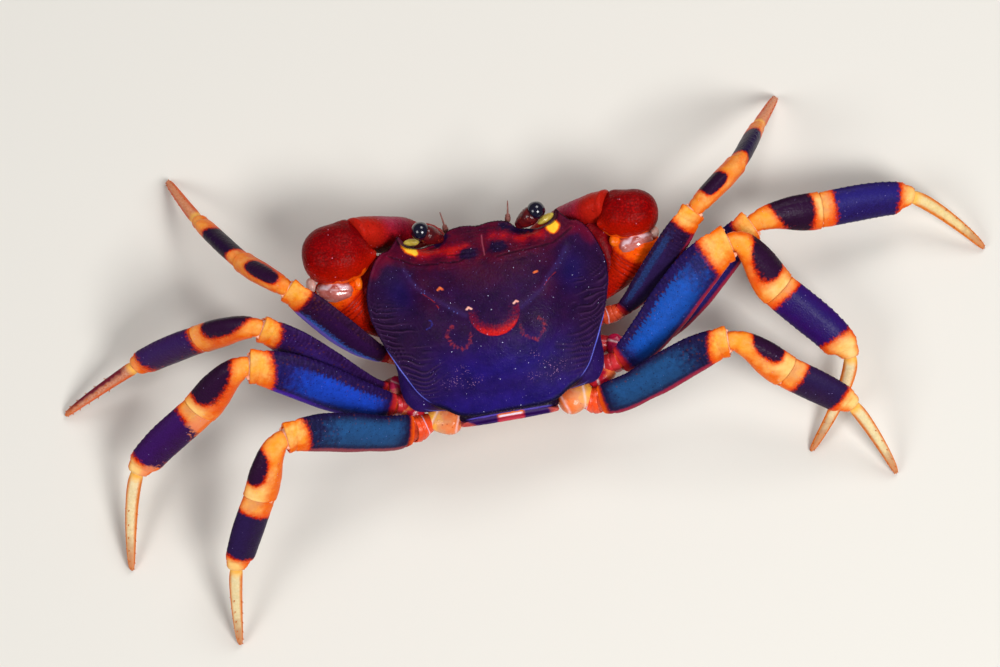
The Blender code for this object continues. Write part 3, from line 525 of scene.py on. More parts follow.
def new_piece(name, skin, finish, slot, *nodes):
    """A piece of the model from its skin, standing for those solids."""
    mesh = bpy.data.meshes.new(name)
    mesh.from_pydata(((skin.points * MM) + SHIFT).tolist(), [], skin.faces)
    for label, value in skin.values.items():
        layer = mesh.attributes.new(label, "FLOAT", "POINT")
        layer.data.foreach_set("value", value.astype(np.float32))
    mesh.validate()
    mesh.shade_smooth()
    mesh.materials.append(FINISH[finish])
    piece = placed(name, mesh)
    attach(piece, "root")
    if nodes:
        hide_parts(*nodes)


# Materials. Each effect that several finishes share is one node group.

def srgb(red, green, blue):
    """A colour from 0 to 255 as seen on a screen, as the shader's light values."""
    shares = [value / 255 for value in (red, green, blue)]
    return tuple(s / 12.92 if s <= 0.04045 else ((s + 0.055) / 1.055) ** 2.4
                 for s in shares) + (1.0,)


def toned(colour, share, lift=0):
    """A colour made lighter or darker."""
    return tuple(min(255, value * share + lift) for value in colour)


class Value:
    """A number or colour that changes over the surface, for use in plain sums."""

    def __init__(self, board, socket):
        self.board, self.socket = board, socket

    def __add__(self, other):
        return self.board.maths("ADD", self, other)

    def __sub__(self, other):
        return self.board.maths("SUBTRACT", self, other)

    def __rsub__(self, other):
        return self.board.maths("SUBTRACT", other, self)

    def __mul__(self, other):
        return self.board.maths("MULTIPLY", self, other)

    def __truediv__(self, other):
        return self.board.maths("DIVIDE", self, other)

    def __rtruediv__(self, other):
        return self.board.maths("DIVIDE", other, self)

    def __pow__(self, other):
        return self.board.maths("POWER", self, other)

    def __abs__(self):
        return self.board.maths("ABSOLUTE", self)

    def past(self, edge, softness, waver=0.0, size=0.5):
        """Mask of where the value is past an edge, along a wavering line."""
        return self.board.group(EDGE, value=self, edge=edge, softness=softness, waver=waver,
                                size=size)["Mask"]

    def before(self, *how):
        return 1.0 - self.past(*how)


class Board:
    """Nodes of one material or group, and the colour that its layers make so far."""

    def __init__(self, tree):
        self.tree, self.count, self.colour = tree, 0, None

    def __getitem__(self, name):
        """A named value of the mesh."""
        return Value(self, self.node("ShaderNodeAttribute", attribute_name=name).outputs["Fac"])

    def node(self, kind, **settings):
        made = self.tree.nodes.new(kind)
        made.location = (self.count % 8 * 200 - 1400, -(self.count // 8) * 260)
        self.count += 1
        for name, value in settings.items():
            setattr(made, name, value)
        return made

    def put(self, socket, value):
        if isinstance(value, Value):
            self.tree.links.new(value.socket, socket)
        else:
            socket.default_value = srgb(*value) if isinstance(value, tuple) else value

    def maths(self, operation, *values, clamp=False):
        made = self.node("ShaderNodeMath", operation=operation, use_clamp=clamp)
        for socket, value in zip(made.inputs, values):
            self.put(socket, value)
        return Value(self, made.outputs[0])

    def mix(self, share, first, second, kind="RGBA"):
        made = self.node("ShaderNodeMix", data_type=kind)
        places = (0, 6, 7) if kind == "RGBA" else (0, 2, 3)
        for place, value in zip(places, (share, first, second)):
            self.put(made.inputs[place], value)
        return Value(self, made.outputs[2 if kind == "RGBA" else 0])

    def group(self, tree, **values):
        made = self.node("ShaderNodeGroup", node_tree=tree)
        for name, value in values.items():
            self.put(made.inputs[name.replace("_", " ").title()], value)
        return {socket.name: Value(self, socket) for socket in made.outputs}

    def cells(self, feature, size):
        """Cells of that size in millimetres, after noise or a Voronoi pattern."""
        kind = "ShaderNodeTexNoise" if feature == "NOISE" else "ShaderNodeTexVoronoi"
        made = self.node(kind)
        if feature != "NOISE":
            made.feature = feature
        scaled = self.node("ShaderNodeVectorMath", operation="SCALE")
        self.tree.links.new(self.node("ShaderNodeTexCoord").outputs["Object"], scaled.inputs[0])
        scaled.inputs["Scale"].default_value = 1 / MM
        self.tree.links.new(scaled.outputs[0], made.inputs["Vector"])
        self.put(made.inputs["Scale"], 1.0 / size)
        return made

    def noise(self, size, detail=3.0, roughness=0.55):
        """Noise from 0 to 1 with features of that size in millimetres."""
        made = self.cells("NOISE", size)
        made.inputs["Detail"].default_value = detail
        made.inputs["Roughness"].default_value = roughness
        return Value(self, made.outputs[0])

    def tone(self, size, contrast):
        return self.group(CLOUD, size=size, contrast=contrast)["Value"]

    def specks(self, spacing, reach, share):
        return self.group(SPECKS, spacing=spacing, reach=reach, share=share)["Mask"]

    def begin(self, low, high, broad, fine=None):
        """The ground colour, and the broad and fine variation of the layers over it."""
        self.broad, self.fine = self.tone(*broad), self.tone(*fine) if fine else None
        self.colour = self.mix(self.broad, low, high)

    def lay(self, share, low, high=None, by=None):
        """Lays a colour, or two that vary, over the layers before it."""
        over = low if high is None else self.mix(by or self.broad, low, high)
        self.colour = self.mix(share, self.colour, over)


def node_group(name, outputs, **inputs):
    tree = bpy.data.node_groups.new(name, "ShaderNodeTree")
    for label, start in inputs.items():
        socket = tree.interface.new_socket(label.replace("_", " "), in_out="INPUT",
                                           socket_type="NodeSocketFloat")
        socket.default_value = start
    for label in outputs:
        tree.interface.new_socket(label, in_out="OUTPUT", socket_type="NodeSocketFloat")
    board = Board(tree)
    given = {socket.name: Value(board, socket) for socket in board.node("NodeGroupInput").outputs}
    return tree, board, given, board.node("NodeGroupOutput").inputs


def build_edge_group():
    """Mask of where a value passes an edge, along a wavering line."""
    tree, board, given, result = node_group(
        "wavering edge", ("Mask",), Value=0, Edge=0.5, Softness=0.1, Waver=0.05, Size=0.5)
    shifted = (board.noise(given["Size"]) - 0.5) * given["Waver"] + given["Value"]
    away = (shifted - given["Edge"]) / given["Softness"]
    share = board.maths("ADD", away, 0.5, clamp=True)
    board.put(result["Mask"], board.maths("SMOOTH_MIN", share, 1.0, 0.1))
    return tree


def build_grain_group():
    """Fine grain of the shell: heights of small round grains and of leathery noise."""
    tree, board, given, result = node_group(
        "shell grain", ("Height", "Tops"), Size=0.25, Noise_Share=0.4)
    cells = board.cells("SMOOTH_F1", given["Size"])
    cells.inputs["Smoothness"].default_value = 0.4
    gaps = Value(board, cells.outputs["Distance"]) * 1.5
    tops = board.maths("SUBTRACT", 1.0, gaps, clamp=True)
    board.put(result["Tops"], tops)
    noise = board.noise(given["Size"] * 2.5, 4.0, 0.6)
    board.put(result["Height"], board.mix(given["Noise Share"], tops, noise, "FLOAT"))
    return tree


def build_speck_group():
    """Mask of scattered small round specks."""
    tree, board, given, result = node_group(
        "specks", ("Mask",), Spacing=0.8, Reach=0.12, Share=0.4)
    cells = board.cells("F1", given["Spacing"])
    split = board.node("ShaderNodeSeparateColor")
    board.put(split.inputs[0], Value(board, cells.outputs["Color"]))
    near = board.maths("LESS_THAN", Value(board, cells.outputs["Distance"]), given["Reach"])
    chosen = board.maths("LESS_THAN", Value(board, split.outputs[0]), given["Share"])
    board.put(result["Mask"], near * chosen)
    return tree


def build_cloud_group():
    """Broad variation of tone."""
    tree, board, given, result = node_group("tone cloud", ("Value",), Size=2.0, Contrast=1.0)
    noise = (board.noise(given["Size"], 4.0) - 0.5) * given["Contrast"]
    board.put(result["Value"], board.maths("ADD", noise, 0.5, clamp=True))
    return tree


EDGE = build_edge_group()
GRAIN = build_grain_group()
SPECKS = build_speck_group()
CLOUD = build_cloud_group()


def new_finish(name, colour, roughness=0.38, grain=0.25, depth=0.03, gloss=0.07, coat=0.0):
    """A material: colour lays it on a board; grain is a size and depth in millimetres."""
    made = bpy.data.materials.new(name)
    made.use_nodes = True
    board = Board(made.node_tree)
    surface = made.node_tree.nodes["Principled BSDF"].inputs
    surface["Specular IOR Level"].default_value = gloss
    surface["Coat Weight"].default_value = coat
    colour(board)
    board.put(surface["Base Color"], board.colour)
    board.put(surface["Roughness"], board.tone(0.6, 0.5) * 0.24 + (roughness - 0.12))
    relief = board.node("ShaderNodeBump")
    relief.inputs["Distance"].default_value = depth * MM
    board.put(relief.inputs["Height"], board.group(GRAIN, size=grain, noise_share=0.45)["Height"])
    board.put(surface["Normal"], Value(board, relief.outputs["Normal"]))
    return made


def shell_colour(coat):
    """Plum in front, indigo in the middle and blue-violet behind, with the crab's own marks,
    painted shade in the side folds' grooves and along the crests, and painted highlights on the
    folds' lips and in pale specks.
    """
    coat.begin((26, 6, 26), (52, 11, 36), (1.6, 2.0), (0.25, 2.0))
    lay, mix, broad, fine = coat.lay, coat.mix, coat.broad, coat.fine

    def ragged(name, *how):
        value = coat[name]
        return value.past(*how) * coat.maths("MULTIPLY", value, 5.0, clamp=True)

    lay(coat["behind"].past(0.45, 0.9, 0.4, 1.6), (24, 7, 38), (46, 14, 54))
    lay(coat["rearward"].past(0.5, 1.0, 0.4, 1.8), (16, 11, 78), (34, 22, 116))
    lay(coat["navy"] * 0.7, (16, 10, 60), (26, 18, 84))
    lay(coat["maroon"] * 0.4, (62, 10, 32), (84, 18, 30))
    lay(coat["beside"] * 0.6, (26, 9, 32), (46, 19, 48))
    lay(coat["flank"], (24, 11, 62), (40, 20, 88))
    lay(fine * 0.16, (66, 34, 104))
    lay(ragged("brow", 0.4, 0.9, 0.7, 0.7) * 0.85, (52, 7, 34), (104, 10, 34))
    lay(ragged("crimson", 0.45, 0.9, 0.6, 0.5) * 0.5, (92, 12, 42), (134, 16, 42))
    hot = mix(ragged("red", 1.15, 0.6, 1.2, 0.35), mix(broad, (120, 8, 36), (156, 12, 32)),
              mix(broad, (170, 14, 28), (206, 34, 20)))
    lay(ragged("red", 0.55, 0.9, 1.3, 0.45), hot)
    lay(ragged("dark", 0.55, 0.6, 1.3, 0.5), (20, 8, 36), (34, 12, 52))
    lay(ragged("yellow", 0.32, 0.35, 0.5, 0.35), (238, 92, 12))
    lay(ragged("yellow", 0.62, 0.35, 0.4, 0.35), (255, 176, 20), (255, 216, 70))
    lay(ragged("crescent", 0.35, 0.7, 1.1, 0.3), (112, 10, 34), (150, 16, 34), fine)
    lay(ragged("crescent", 0.7, 0.5, 1.1, 0.28), (168, 14, 24), (214, 28, 22), fine)
    lay(ragged("ring", 0.42, 0.5, 0.7, 0.25) * 0.8, (96, 14, 44), (164, 52, 60), fine)
    lay(ragged("dashes", 0.7, 0.4, 1.2, 0.4) * 0.8, (146, 34, 30))
    lay(coat["neck"] * 0.2, (72, 56, 126))
    # Painted highlight on the lips of the side folds, then painted shade in their grooves.
    lay(coat["lip"] * 0.5, (84, 50, 92))
    lay(coat["groove"] * 0.8, (18, 7, 26))
    # Painted shade along the narrow grooves of the crests behind the brow.
    lay(ragged("crest", 0.55, 0.6, 1.1, 0.6) * 0.6, (20, 7, 22))
    lay(coat["neck"] * coat.specks(0.5, 0.2, 0.5) * 0.6, (104, 112, 196))
    lay(coat["hairs"] * coat.specks(0.2, 0.3, 0.5), (150, 104, 150))
    lay(coat["middle"], (190, 90, 110))
    lay(coat["pearls"], (226, 120, 110), (255, 206, 190), fine)
    lay(coat["ambers"], (206, 60, 50), (250, 140, 70), fine)
    lay(coat["hook"] * fine, (50, 60, 170))
    lay(coat["rim"], (10, 6, 14))
    lay(coat["edge"], (92, 100, 226), (136, 140, 250))
    # Painted highlights: light violet to near-white specks stand for glints on the grains.
    lay(coat.specks(0.32, 0.15, 0.3) * 0.22, (104, 80, 170))
    lay(coat.specks(0.48, 0.07, 0.7) * 0.7, (170, 150, 220))
    lay(coat.specks(0.9, 0.06, 0.4), (216, 216, 250))


def joint_amber(coat, hot):
    """Yellow-orange in the middle of the face and redder towards both edges and the dark part."""
    mix, broad, fine = coat.mix, coat.broad, coat.tone(0.3, 1.6)
    centre = abs(coat["across"]).before(0.66, 0.5, 0.8, 1.3)
    amber = mix(centre * 0.85, mix(broad, (232, 84, 2), (250, 122, 8)),
                mix(broad, (246, 150, 28), (255, 196, 72)))
    amber = mix(coat.tone(1.4, 3.2) * centre * 0.5, amber,
                mix(fine, (240, 180, 110), (255, 224, 150)))
    amber = mix((1.0 - fine) * 0.12, amber, (216, 70, 10))
    warm = mix(hot.past(0.5, 0.9, 1.0, 0.45), amber, (226, 52, 4))
    return mix(hot.past(0.9, 0.4, 0.9, 0.3), warm, (126, 10, 10))


def merus_colour(upper, face, streak, cap, low_edge, border, comb, softness=0.2,
                 heel=(196, 40, 44)):
    """Dark crest with a ragged border, a coloured face, and an orange cap at the knee; lighter
    dashes on the crest's teeth and pale specks are painted highlights, and the face's darker edges
    are painted shade.
    """
    def colour(coat):
        along, across, teeth, lay = coat["along"], coat["across"], coat["comb"], coat.lay
        coat.begin(toned(upper, 0.7), toned(upper, 1.15), (0.8, 1.6), (0.2, 2.4))
        broad, fine = coat.broad, coat.fine
        # Painted highlights: lighter dashes on the crest's teeth stand for glints.
        lay(teeth * fine * 0.4, toned(upper, 1.5, 34))
        crest = coat.colour
        coat.colour = coat.mix(broad, toned(face, 0.8), toned(face, 1.1))
        lay(fine * 0.25, toned(face, 1.3))
        # Painted shade: the face darkens towards both its edges.
        lay(abs(across + 0.2).past(0.5, 0.7, 0.3, 0.9) * 0.6, toned(face, 0.6))
        lay((teeth * comb + across).past(border, softness, 0.45, 0.28), crest)
        far, below = along.past(0.67, 0.18, 0.36, 0.7), across * -1.0
        lay(far * 0.9, crest)
        lay(along.before(0.13, 0.1, 0.1, 0.5) * 0.9, crest)
        lay(below.past(0.84, 0.12, 0.14, 0.6) * 0.75, crest)
        lay(coat.specks(0.36, 0.24, 0.3) * 0.55, (14, 8, 36))
        spotted = coat.maths("MAXIMUM", far, abs(across - border).before(0.3, 0.3, 0.3))
        lay(coat.specks(0.5, 0.3, 0.4) * spotted * 0.55, (12, 8, 26), (110, 52, 36))
        if streak:
            middle, reach, tint = streak
            line = abs(across - middle).before(reach, 0.16, 0.4, 0.35)
            line = line * along.before(0.74, 0.1, 0.2, 0.5) * along.past(0.12, 0.1, 0.1, 0.5)
            lay(line * 0.9, toned(tint, 0.6), tint, fine)
        lay(below.past(0.95, 0.05, 0.05), low_edge)
        # Painted highlights: small pale blue specks stand for glints on the grains.
        lay(coat.specks(0.55, 0.075, 0.5) * 0.6, (150, 150, 225))
        place, slant = cap
        beyond = across * -slant + along
        hot = 1.0 - coat.maths("DIVIDE", beyond - place, 0.07, clamp=True)
        lay(beyond.past(place, 0.03, 0.07, 0.4), joint_amber(coat, hot))
        skin = coat.mix(along.before(0.025, 0.04, 0.03, 0.4), (140, 14, 20),
                        coat.mix(broad, toned(heel, 0.9), heel))
        lay(along.before(0.045, 0.03, 0.04, 0.4), skin)
    return colour


def banded_colour(low, high, floor, lean=0.0, top=1.0, power=3.0, tones=(), pale=(), strip=None):
    """Orange ground with one dark patch, between those places along and from the top down, and
    small pale specks painted as highlights.
    """
    def colour(coat):
        across, lay, (edge_tone, middle_tone) = coat["across"], coat.lay, tones
        middle, below = (low + high) / 2, across * -1.0
        drop = abs(top - across) / (top - floor)
        coat.begin(toned(edge_tone, 0.7), edge_tone, (0.9, 1.4), (0.18, 2.2))
        lay(abs(across).before(0.55, 0.7, 0.5, 0.8) * 0.8, middle_tone)
        lay(coat.fine * 0.3, toned(middle_tone, 1.4, 8))
        dark = coat.colour
        reach = abs(drop * -lean + coat["along"] - middle) / ((high - low) / 2)
        span = (reach ** power + drop ** power) ** (1 / power)
        halo = coat.maths("SUBTRACT", 1.0, (span - 1.0) / 0.42, clamp=True)
        coat.colour = joint_amber(coat, halo)
        centre = abs(across).before(0.66, 0.5, 0.5, 0.8) * (coat.tone(1.1, 3.0) * 0.5 + 0.3)
        lay(centre * span.past(1.25, 0.3, 0.2, 0.5), *pale, coat["along"].past(middle, 0.05))
        if strip:
            lay(below.past(0.5, 0.3, 0.3, 0.6) * 0.7, strip)
            lay(below.past(0.94, 0.06), (240, 110, 30))
        lay(span.before(1.0, 0.12, 0.5, 0.45), dark)
        # Painted highlights: small pale specks stand for glints on the grains.
        lay(coat.specks(0.55, 0.075, 0.45) * 0.6, (180, 160, 225))
    return colour


def dactyl_colour(middle, edge, streak=None):
    """Pale or orange middle, orange edges and a browner tip."""
    def colour(coat):
        along, across, lay = coat["along"], coat["across"], coat.lay
        coat.begin(middle, toned(middle, 0.86), (0.7, 1.2), (0.25, 2.0))
        lay(coat.fine * 0.3, (255, 240, 210))
        rim = abs(across).past(0.66, 0.36, 0.25, 0.4)
        lay(rim, toned(edge, 0.9), edge, coat.fine)
        lay(along.before(0.06, 0.08, 0.05, 0.5), (246, 160, 50), (255, 206, 110))
        if streak:
            span = along.past(0.12, 0.1) * along.before(0.85, 0.2)
            lay(across.past(0.15, 0.5, 0.9, 0.5) * span, streak)
        if max(middle) > PALE_LEVEL:
            tip = along.past(0.58, 0.2, 0.3, 0.8) * (1.0 - rim)
            lay(tip * 0.7, (150, 104, 92), (206, 130, 66))
        lay(along.past(0.82, 0.4, 0.1) * 0.8, (222, 104, 24))
        lay(along.past(0.97, 0.04), (90, 40, 14))
        lay(coat["spine"], (206, 104, 20))
    return colour


def base_colour(coxa, ischium, line_place):
    """Root of a leg, then its red to orange second length with a fine pale curved line."""
    def colour(coat):
        along, across, lay = coat["along"], coat["across"], coat.lay
        coat.begin(*coxa, (1.0, 1.8), (0.3, 1.8))
        lay(along.past(0.53, 0.04, 0.02), toned(ischium, 0.9), toned(ischium, 1.2))
        line = abs(across * across * 0.07 + along - line_place).before(0.012, 0.016, 0.02, 0.4)
        lay(line * 0.85, (240, 170, 170), (236, 214, 250), coat.fine)
        lay(along.before(0.6, 0.12, 0.1) * (1.0 - coat.fine) * 0.7, (120, 8, 24))
    return colour


def coxa_colour(start, middle, end, shell_side):
    """Three tones from end to end, a deeper one beside the shell, and pale creases painted as
    highlights.
    """
    def colour(coat):
        lay = coat.lay
        coat.begin(start, middle, (0.9, 2.2), (0.3, 2.0))
        share = (coat.broad - 0.5) * 0.4 + coat["along"]
        coat.colour = coat.mix((share - 0.15) / 0.35, start, middle)
        lay((share - 0.5) / 0.35, end)
        lay(coat.fine * 0.25, toned(middle, 1.2))
        lay(coat["across"].past(0.3, 0.7, 0.7, 0.7) * 0.9, shell_side)
        # Painted highlight: a pale line along each crease stands for a glint.
        lay(coat["crease"] * (coat.broad * 0.7 + 0.2), (250, 224, 226))
        lay(coat.specks(0.6, 0.16, 0.4) * 0.5, (150, 14, 26))
    return colour


def claw_colour(light, dark, glow=(236, 74, 12), cap_edge=2.0, bands=()):
    """Finely grained red, with darker wrinkles and orange towards a joint; the darkening in
    wrinkles, grooves, bands, gaps between grains and on the arm's inner side is painted shade, and
    pink specks are painted highlights.
    """
    def colour(coat):
        along, lay = coat["along"], coat.lay
        coat.begin(dark, light, (1.6, 1.7), (0.2, 2.2))
        fine = coat.fine
        lay(fine * 0.3, toned(light, 1.25))
        # Painted shade in the gaps between the grains.
        gaps = coat.group(GRAIN, size=0.34)["Tops"].before(0.42, 0.3, 0.5, 0.4)
        lay(gaps * 0.4, toned(dark, 0.55))
        lay((1.0 - fine) * 0.35, toned(dark, 0.6))
        # Painted shade where deep is set: the arm's inner face towards the shell and the inner
        # lobe; it also darkens the front of the wrist.
        lay(coat["deep"] * 0.8, (88, 4, 14), (120, 8, 18))
        # Painted shade in the wrinkles and grooves.
        lay(coat["wrinkle"] * 0.75, (82, 4, 6))
        lay(coat["blush"] * (fine * 0.6 + 0.3), (160, 30, 70), (206, 70, 110))
        lay(coat["warm"] * 0.75, toned(glow, 0.88), glow, fine)
        lay(along.past(cap_edge, 0.06, 0.12, 1.0), (240, 70, 2), (250, 98, 6), fine)
        # Painted shade in the grooves of the arm's bands.
        for place in bands:
            lay(abs(along - place).before(0.008, 0.012, 0.02, 1.4) * 0.75, (120, 10, 4))
        lay(coat["pale"], (250, 186, 160))
        lay(coat.specks(0.6, 0.2, 0.35) * 0.45, (90, 2, 6))
        # Painted highlights: small pink specks stand for glints.
        lay(coat.specks(0.8, 0.1, 0.4) * 0.6, (226, 130, 160))
    return colour


def two_tone(first, second, size=0.8, contrast=1.4, specks=None):
    def colour(coat):
        coat.begin(first, second, (size, contrast))
        if specks:
            coat.lay(coat.specks(0.4, 0.2, 0.4) * 0.7, specks)
    return colour


def joint_skin_colour(coat):
    """Orange and cream skin, redder at the root of the leg."""
    coat.begin((226, 110, 50), (252, 208, 180), (0.5, 1.4))
    coat.lay(coat["along"], (150, 16, 20), (230, 80, 30))


def sac_colour(coat):
    """Glossy pinkish skin with white painted highlights along its folds."""
    coat.begin((170, 66, 52), (206, 128, 120), (0.8, 1.8))
    # Painted highlights: white along the skin's fold ridge stands for glints.
    coat.lay(coat["fold"].past(0.6, 1.1, 0.9, 0.35) * 0.85, (232, 196, 214), (250, 244, 252))


def shaded_hinge_colour(coat):
    """Nearly black skin as painted shade in the gap under the shell's rear, with one light violet
    fold.
    """
    coat.begin((10, 6, 18), (34, 14, 48), (0.8, 1.6))
    coat.lay(coat["line"] * 0.85, (104, 84, 206))


def pleon_colour(coat):
    """Blue-violet first ring with a pale and red middle; the folded rings are orange and cream."""
    across, back, lay = coat["across"], coat["back"], coat.lay
    coat.begin((196, 120, 84), (226, 164, 120), (0.9, 1.3))
    top = coat["along"].before(0.24, 0.05, 0.03)
    lay(top, (28, 10, 62), (52, 20, 104))
    lay(back.before(0.16, 0.14, 0.2, 0.5) * top * 0.6, (110, 92, 214))
    wedges = coat.maths("MAXIMUM", (back * 0.25 + across).past(1.0, 0.1, 0.1, 0.6),
                        (across * -1.0).past(0.84, 0.1, 0.12, 0.6))
    lay(wedges * top * 0.9, (190, 50, 50), (230, 116, 90))
    middle = abs(across + 0.02)
    reds = coat.mix(back.past(0.5, 0.4, 0.2), coat.mix(coat.broad, (214, 70, 14), (246, 130, 30)),
                    (196, 40, 66))
    lay(middle.before(0.28, 0.05, 0.06) * top, reds)
    line = abs(back - 0.4).before(0.16, 0.12, 0.1, 0.5) * middle.before(0.24, 0.06, 0.06)
    lay(line * top * 0.9, (246, 232, 250))
    lay(coat["groove"] * 0.8, (90, 30, 50))


def thorax_colour(coat):
    """Purple beside the shell, then orange and cream towards the breast."""
    coat.begin((120, 26, 30), (168, 48, 34), (1.2, 1.4))
    coat.lay(coat["low"].past(0.5, 0.4, 0.3, 1.0), (206, 130, 92), (232, 178, 136))
    coat.lay(coat["groove"] * 0.8, (120, 40, 40))


# Name, colour, roughness, grain size and depth, gloss and clear coat of the finishes.
PLAIN_FINISHES = {
    "shell": ("indigo shell", shell_colour, 0.34, 0.16, 0.045, 0.05),
    "membrane": ("joint skin", joint_skin_colour, 0.22, 0.4, 0.03, 0.4),
    "elbow_skin": ("elbow skin", sac_colour, 0.14, 0.5, 0.015, 0.5, 0.7),
    "orange_knob": ("orange knob", two_tone((236, 84, 4), (252, 128, 20), 0.5),
                    0.2, 0.2, 0.02, 0.4),
    "knob": ("pearly knob", two_tone((226, 150, 120), (250, 220, 214), 0.5), 0.18, 0.25, 0.03, 0.5),
    "stalk": ("maroon eyestalk", two_tone((44, 6, 14), (104, 16, 18), 0.6, 1.8, (176, 60, 28)),
              0.22, 0.2, 0.02, 0.4),
    "cornea": ("black cornea", two_tone((8, 6, 18), (16, 12, 40), 0.4, 1.0),
               0.12, 0.08, 0.006, 0.3, 0.7),
    "pad": ("lime orbit pad", two_tone((158, 122, 34), (206, 186, 82), 0.45, 1.8, (180, 84, 20)),
            0.2, 0.2, 0.02, 0.4),
    "feeler": ("feeler", two_tone((92, 40, 34), (150, 100, 92), 0.5), 0.35, 0.12, 0.02),
    "mouth": ("mouth cover", two_tone((96, 16, 30), (168, 44, 30), 0.9, 1.5, (220, 120, 80)), 0.36),
    # The hinge skin's near-black colour is painted shade.
    "hinge": ("hinge skin in painted shade", shaded_hinge_colour, 0.28, 0.3, 0.03),
    "pleon": ("pleon", pleon_colour, 0.36, 0.2, 0.03),
    "thorax": ("breast", thorax_colour, 0.4, 0.25, 0.04),
    "arm": ("red arm", claw_colour((222, 28, 4), (186, 12, 8), (240, 52, 2), 0.79, ARM_BANDS),
            0.32, 0.3, 0.05),
    "wrist": ("red wrist block", claw_colour((176, 5, 2), (98, 1, 5), (228, 34, 0)),
              0.34, 0.3, 0.06, 0.045),
    "palm": ("red palm", claw_colour((170, 12, 20), (120, 7, 22), (210, 38, 14)),
             0.34, 0.3, 0.04, 0.045),
    "finger": ("red finger", claw_colour((206, 44, 24), (166, 18, 16)), 0.32, 0.3, 0.04),
    "dactyl_left_2": ("dactyl left 2", dactyl_colour((196, 96, 60), (230, 92, 24), (104, 14, 40)),
                      0.3, 0.18, 0.02),
}
RED_EDGE, ORANGE_HEEL = (150, 30, 60), (244, 92, 18)
# Of each leg: its merus, the dark patch of its carpus, and that of its propodus with its tones.
LEG_TONES = {
    ("left", 1): (((42, 13, 44), (48, 16, 62), (-0.93, 0.07, (60, 120, 236)), (0.825, 0.015),
                   (110, 90, 200), 0.0, 0.1), (0.16, 0.68, -0.5, 0.0, 0.2),
                  (0.15, 0.62, -1.6, 0.06), ((28, 10, 30), (34, 14, 44))),
    ("left", 2): (((40, 18, 70), (54, 34, 108), None, (0.875, 0.05), (70, 20, 130), -0.1, 0.12,
                   0.5), (0.14, 0.70, -0.5, 0.1),
                  (0.05, 0.82, -1.2), ((56, 12, 58), (44, 20, 78))),
    ("left", 3): (((26, 13, 64), (20, 64, 178), None, (0.84, 0.06), (60, 20, 150), 0.2, 0.22),
                  (0.17, 0.78, -0.6, 0.08),
                  (0.15, 0.79, -1.25, 0.05), ((50, 12, 56), (50, 18, 80))),
    ("left", 4): (((14, 12, 50), (28, 74, 122), None, (0.83, 0.05), (140, 60, 70), 0.42, 0.04, 0.5,
                   ORANGE_HEEL), (0.30, 0.72, -0.3, 0.04),
                  (0.20, 0.76, -2.2, 0.1), ((38, 16, 52), (36, 22, 62))),
    ("right", 1): (((32, 15, 50), (38, 26, 70), (0.08, 0.24, (36, 64, 122)), (0.83, 0.02),
                    RED_EDGE, 0.4, 0.1), (0.27, 0.62, -0.4, 0.0, 0.4),
                   (0.12, 0.66, -1.9), ((30, 12, 42), (32, 18, 56))),
    ("right", 2): (((32, 18, 78), (36, 50, 138), None, (0.87, 0.04), RED_EDGE, 0.2, 0.15, 0.4),
                   (0.30, 0.82, -1.15, 0.1), (0.17, 0.81, -2.4), ((36, 16, 62), (34, 28, 102))),
    ("right", 3): (((24, 16, 70), (10, 74, 164), None, (0.805, 0.025), RED_EDGE, 0.42, 0.34, 0.12),
                   (0.29, 0.75, -0.5, 0.08),
                   (0.15, 0.73, -2.4, -0.08), ((52, 8, 92), (32, 22, 84))),
    ("right", 4): (((14, 12, 52), (26, 72, 120), None, (0.855, 0.055), RED_EDGE, 0.42, 0.05, 0.5,
                    ORANGE_HEEL), (0.30, 0.73, -0.25, 0.04),
                   (0.22, 0.75, -2.4), ((44, 16, 48), (36, 24, 64))),
}
CARPUS_TONES = ((34, 9, 30), (40, 14, 44))
# Pale middles of carpus and propodus, towards the near end and the far one.
PALE_TONES = ((250, 140, 36), (248, 206, 130)), ((214, 138, 92), (250, 210, 134))
WARM_TONES = {
    1: (((240, 104, 30), (238, 110, 40)), ((236, 104, 40), (240, 116, 40))),
    2: (((250, 130, 40), (246, 124, 60)), ((236, 100, 56), (240, 120, 70))),
}
PINK_STRIP = (238, 146, 100)
DACTYL_TONES = {1: ((226, 112, 50), (232, 84, 10)), 2: ((240, 208, 136), (240, 124, 20)),
                3: ((238, 212, 158), (240, 122, 24)), 4: ((238, 214, 156), (240, 122, 22))}
PALE_LEVEL = 230
DARK_ROOT = (170, 14, 36), (208, 40, 36)
BASE_TONES = {1: (DARK_ROOT, (206, 70, 30), 0.72), 2: (DARK_ROOT, (186, 34, 40), 0.72),
              3: (DARK_ROOT, (186, 34, 40), 0.72),
              4: (((230, 90, 20), (246, 150, 50)), (232, 66, 10), 0.78)}
COXA_TONES = {2: ((190, 16, 60), (238, 56, 110), (250, 200, 116), (150, 10, 50)),
              3: ((186, 30, 44), (170, 14, 46), (238, 128, 60), (130, 6, 44)),
              4: ((252, 184, 62), (222, 142, 96), (238, 108, 38), (184, 34, 34))}


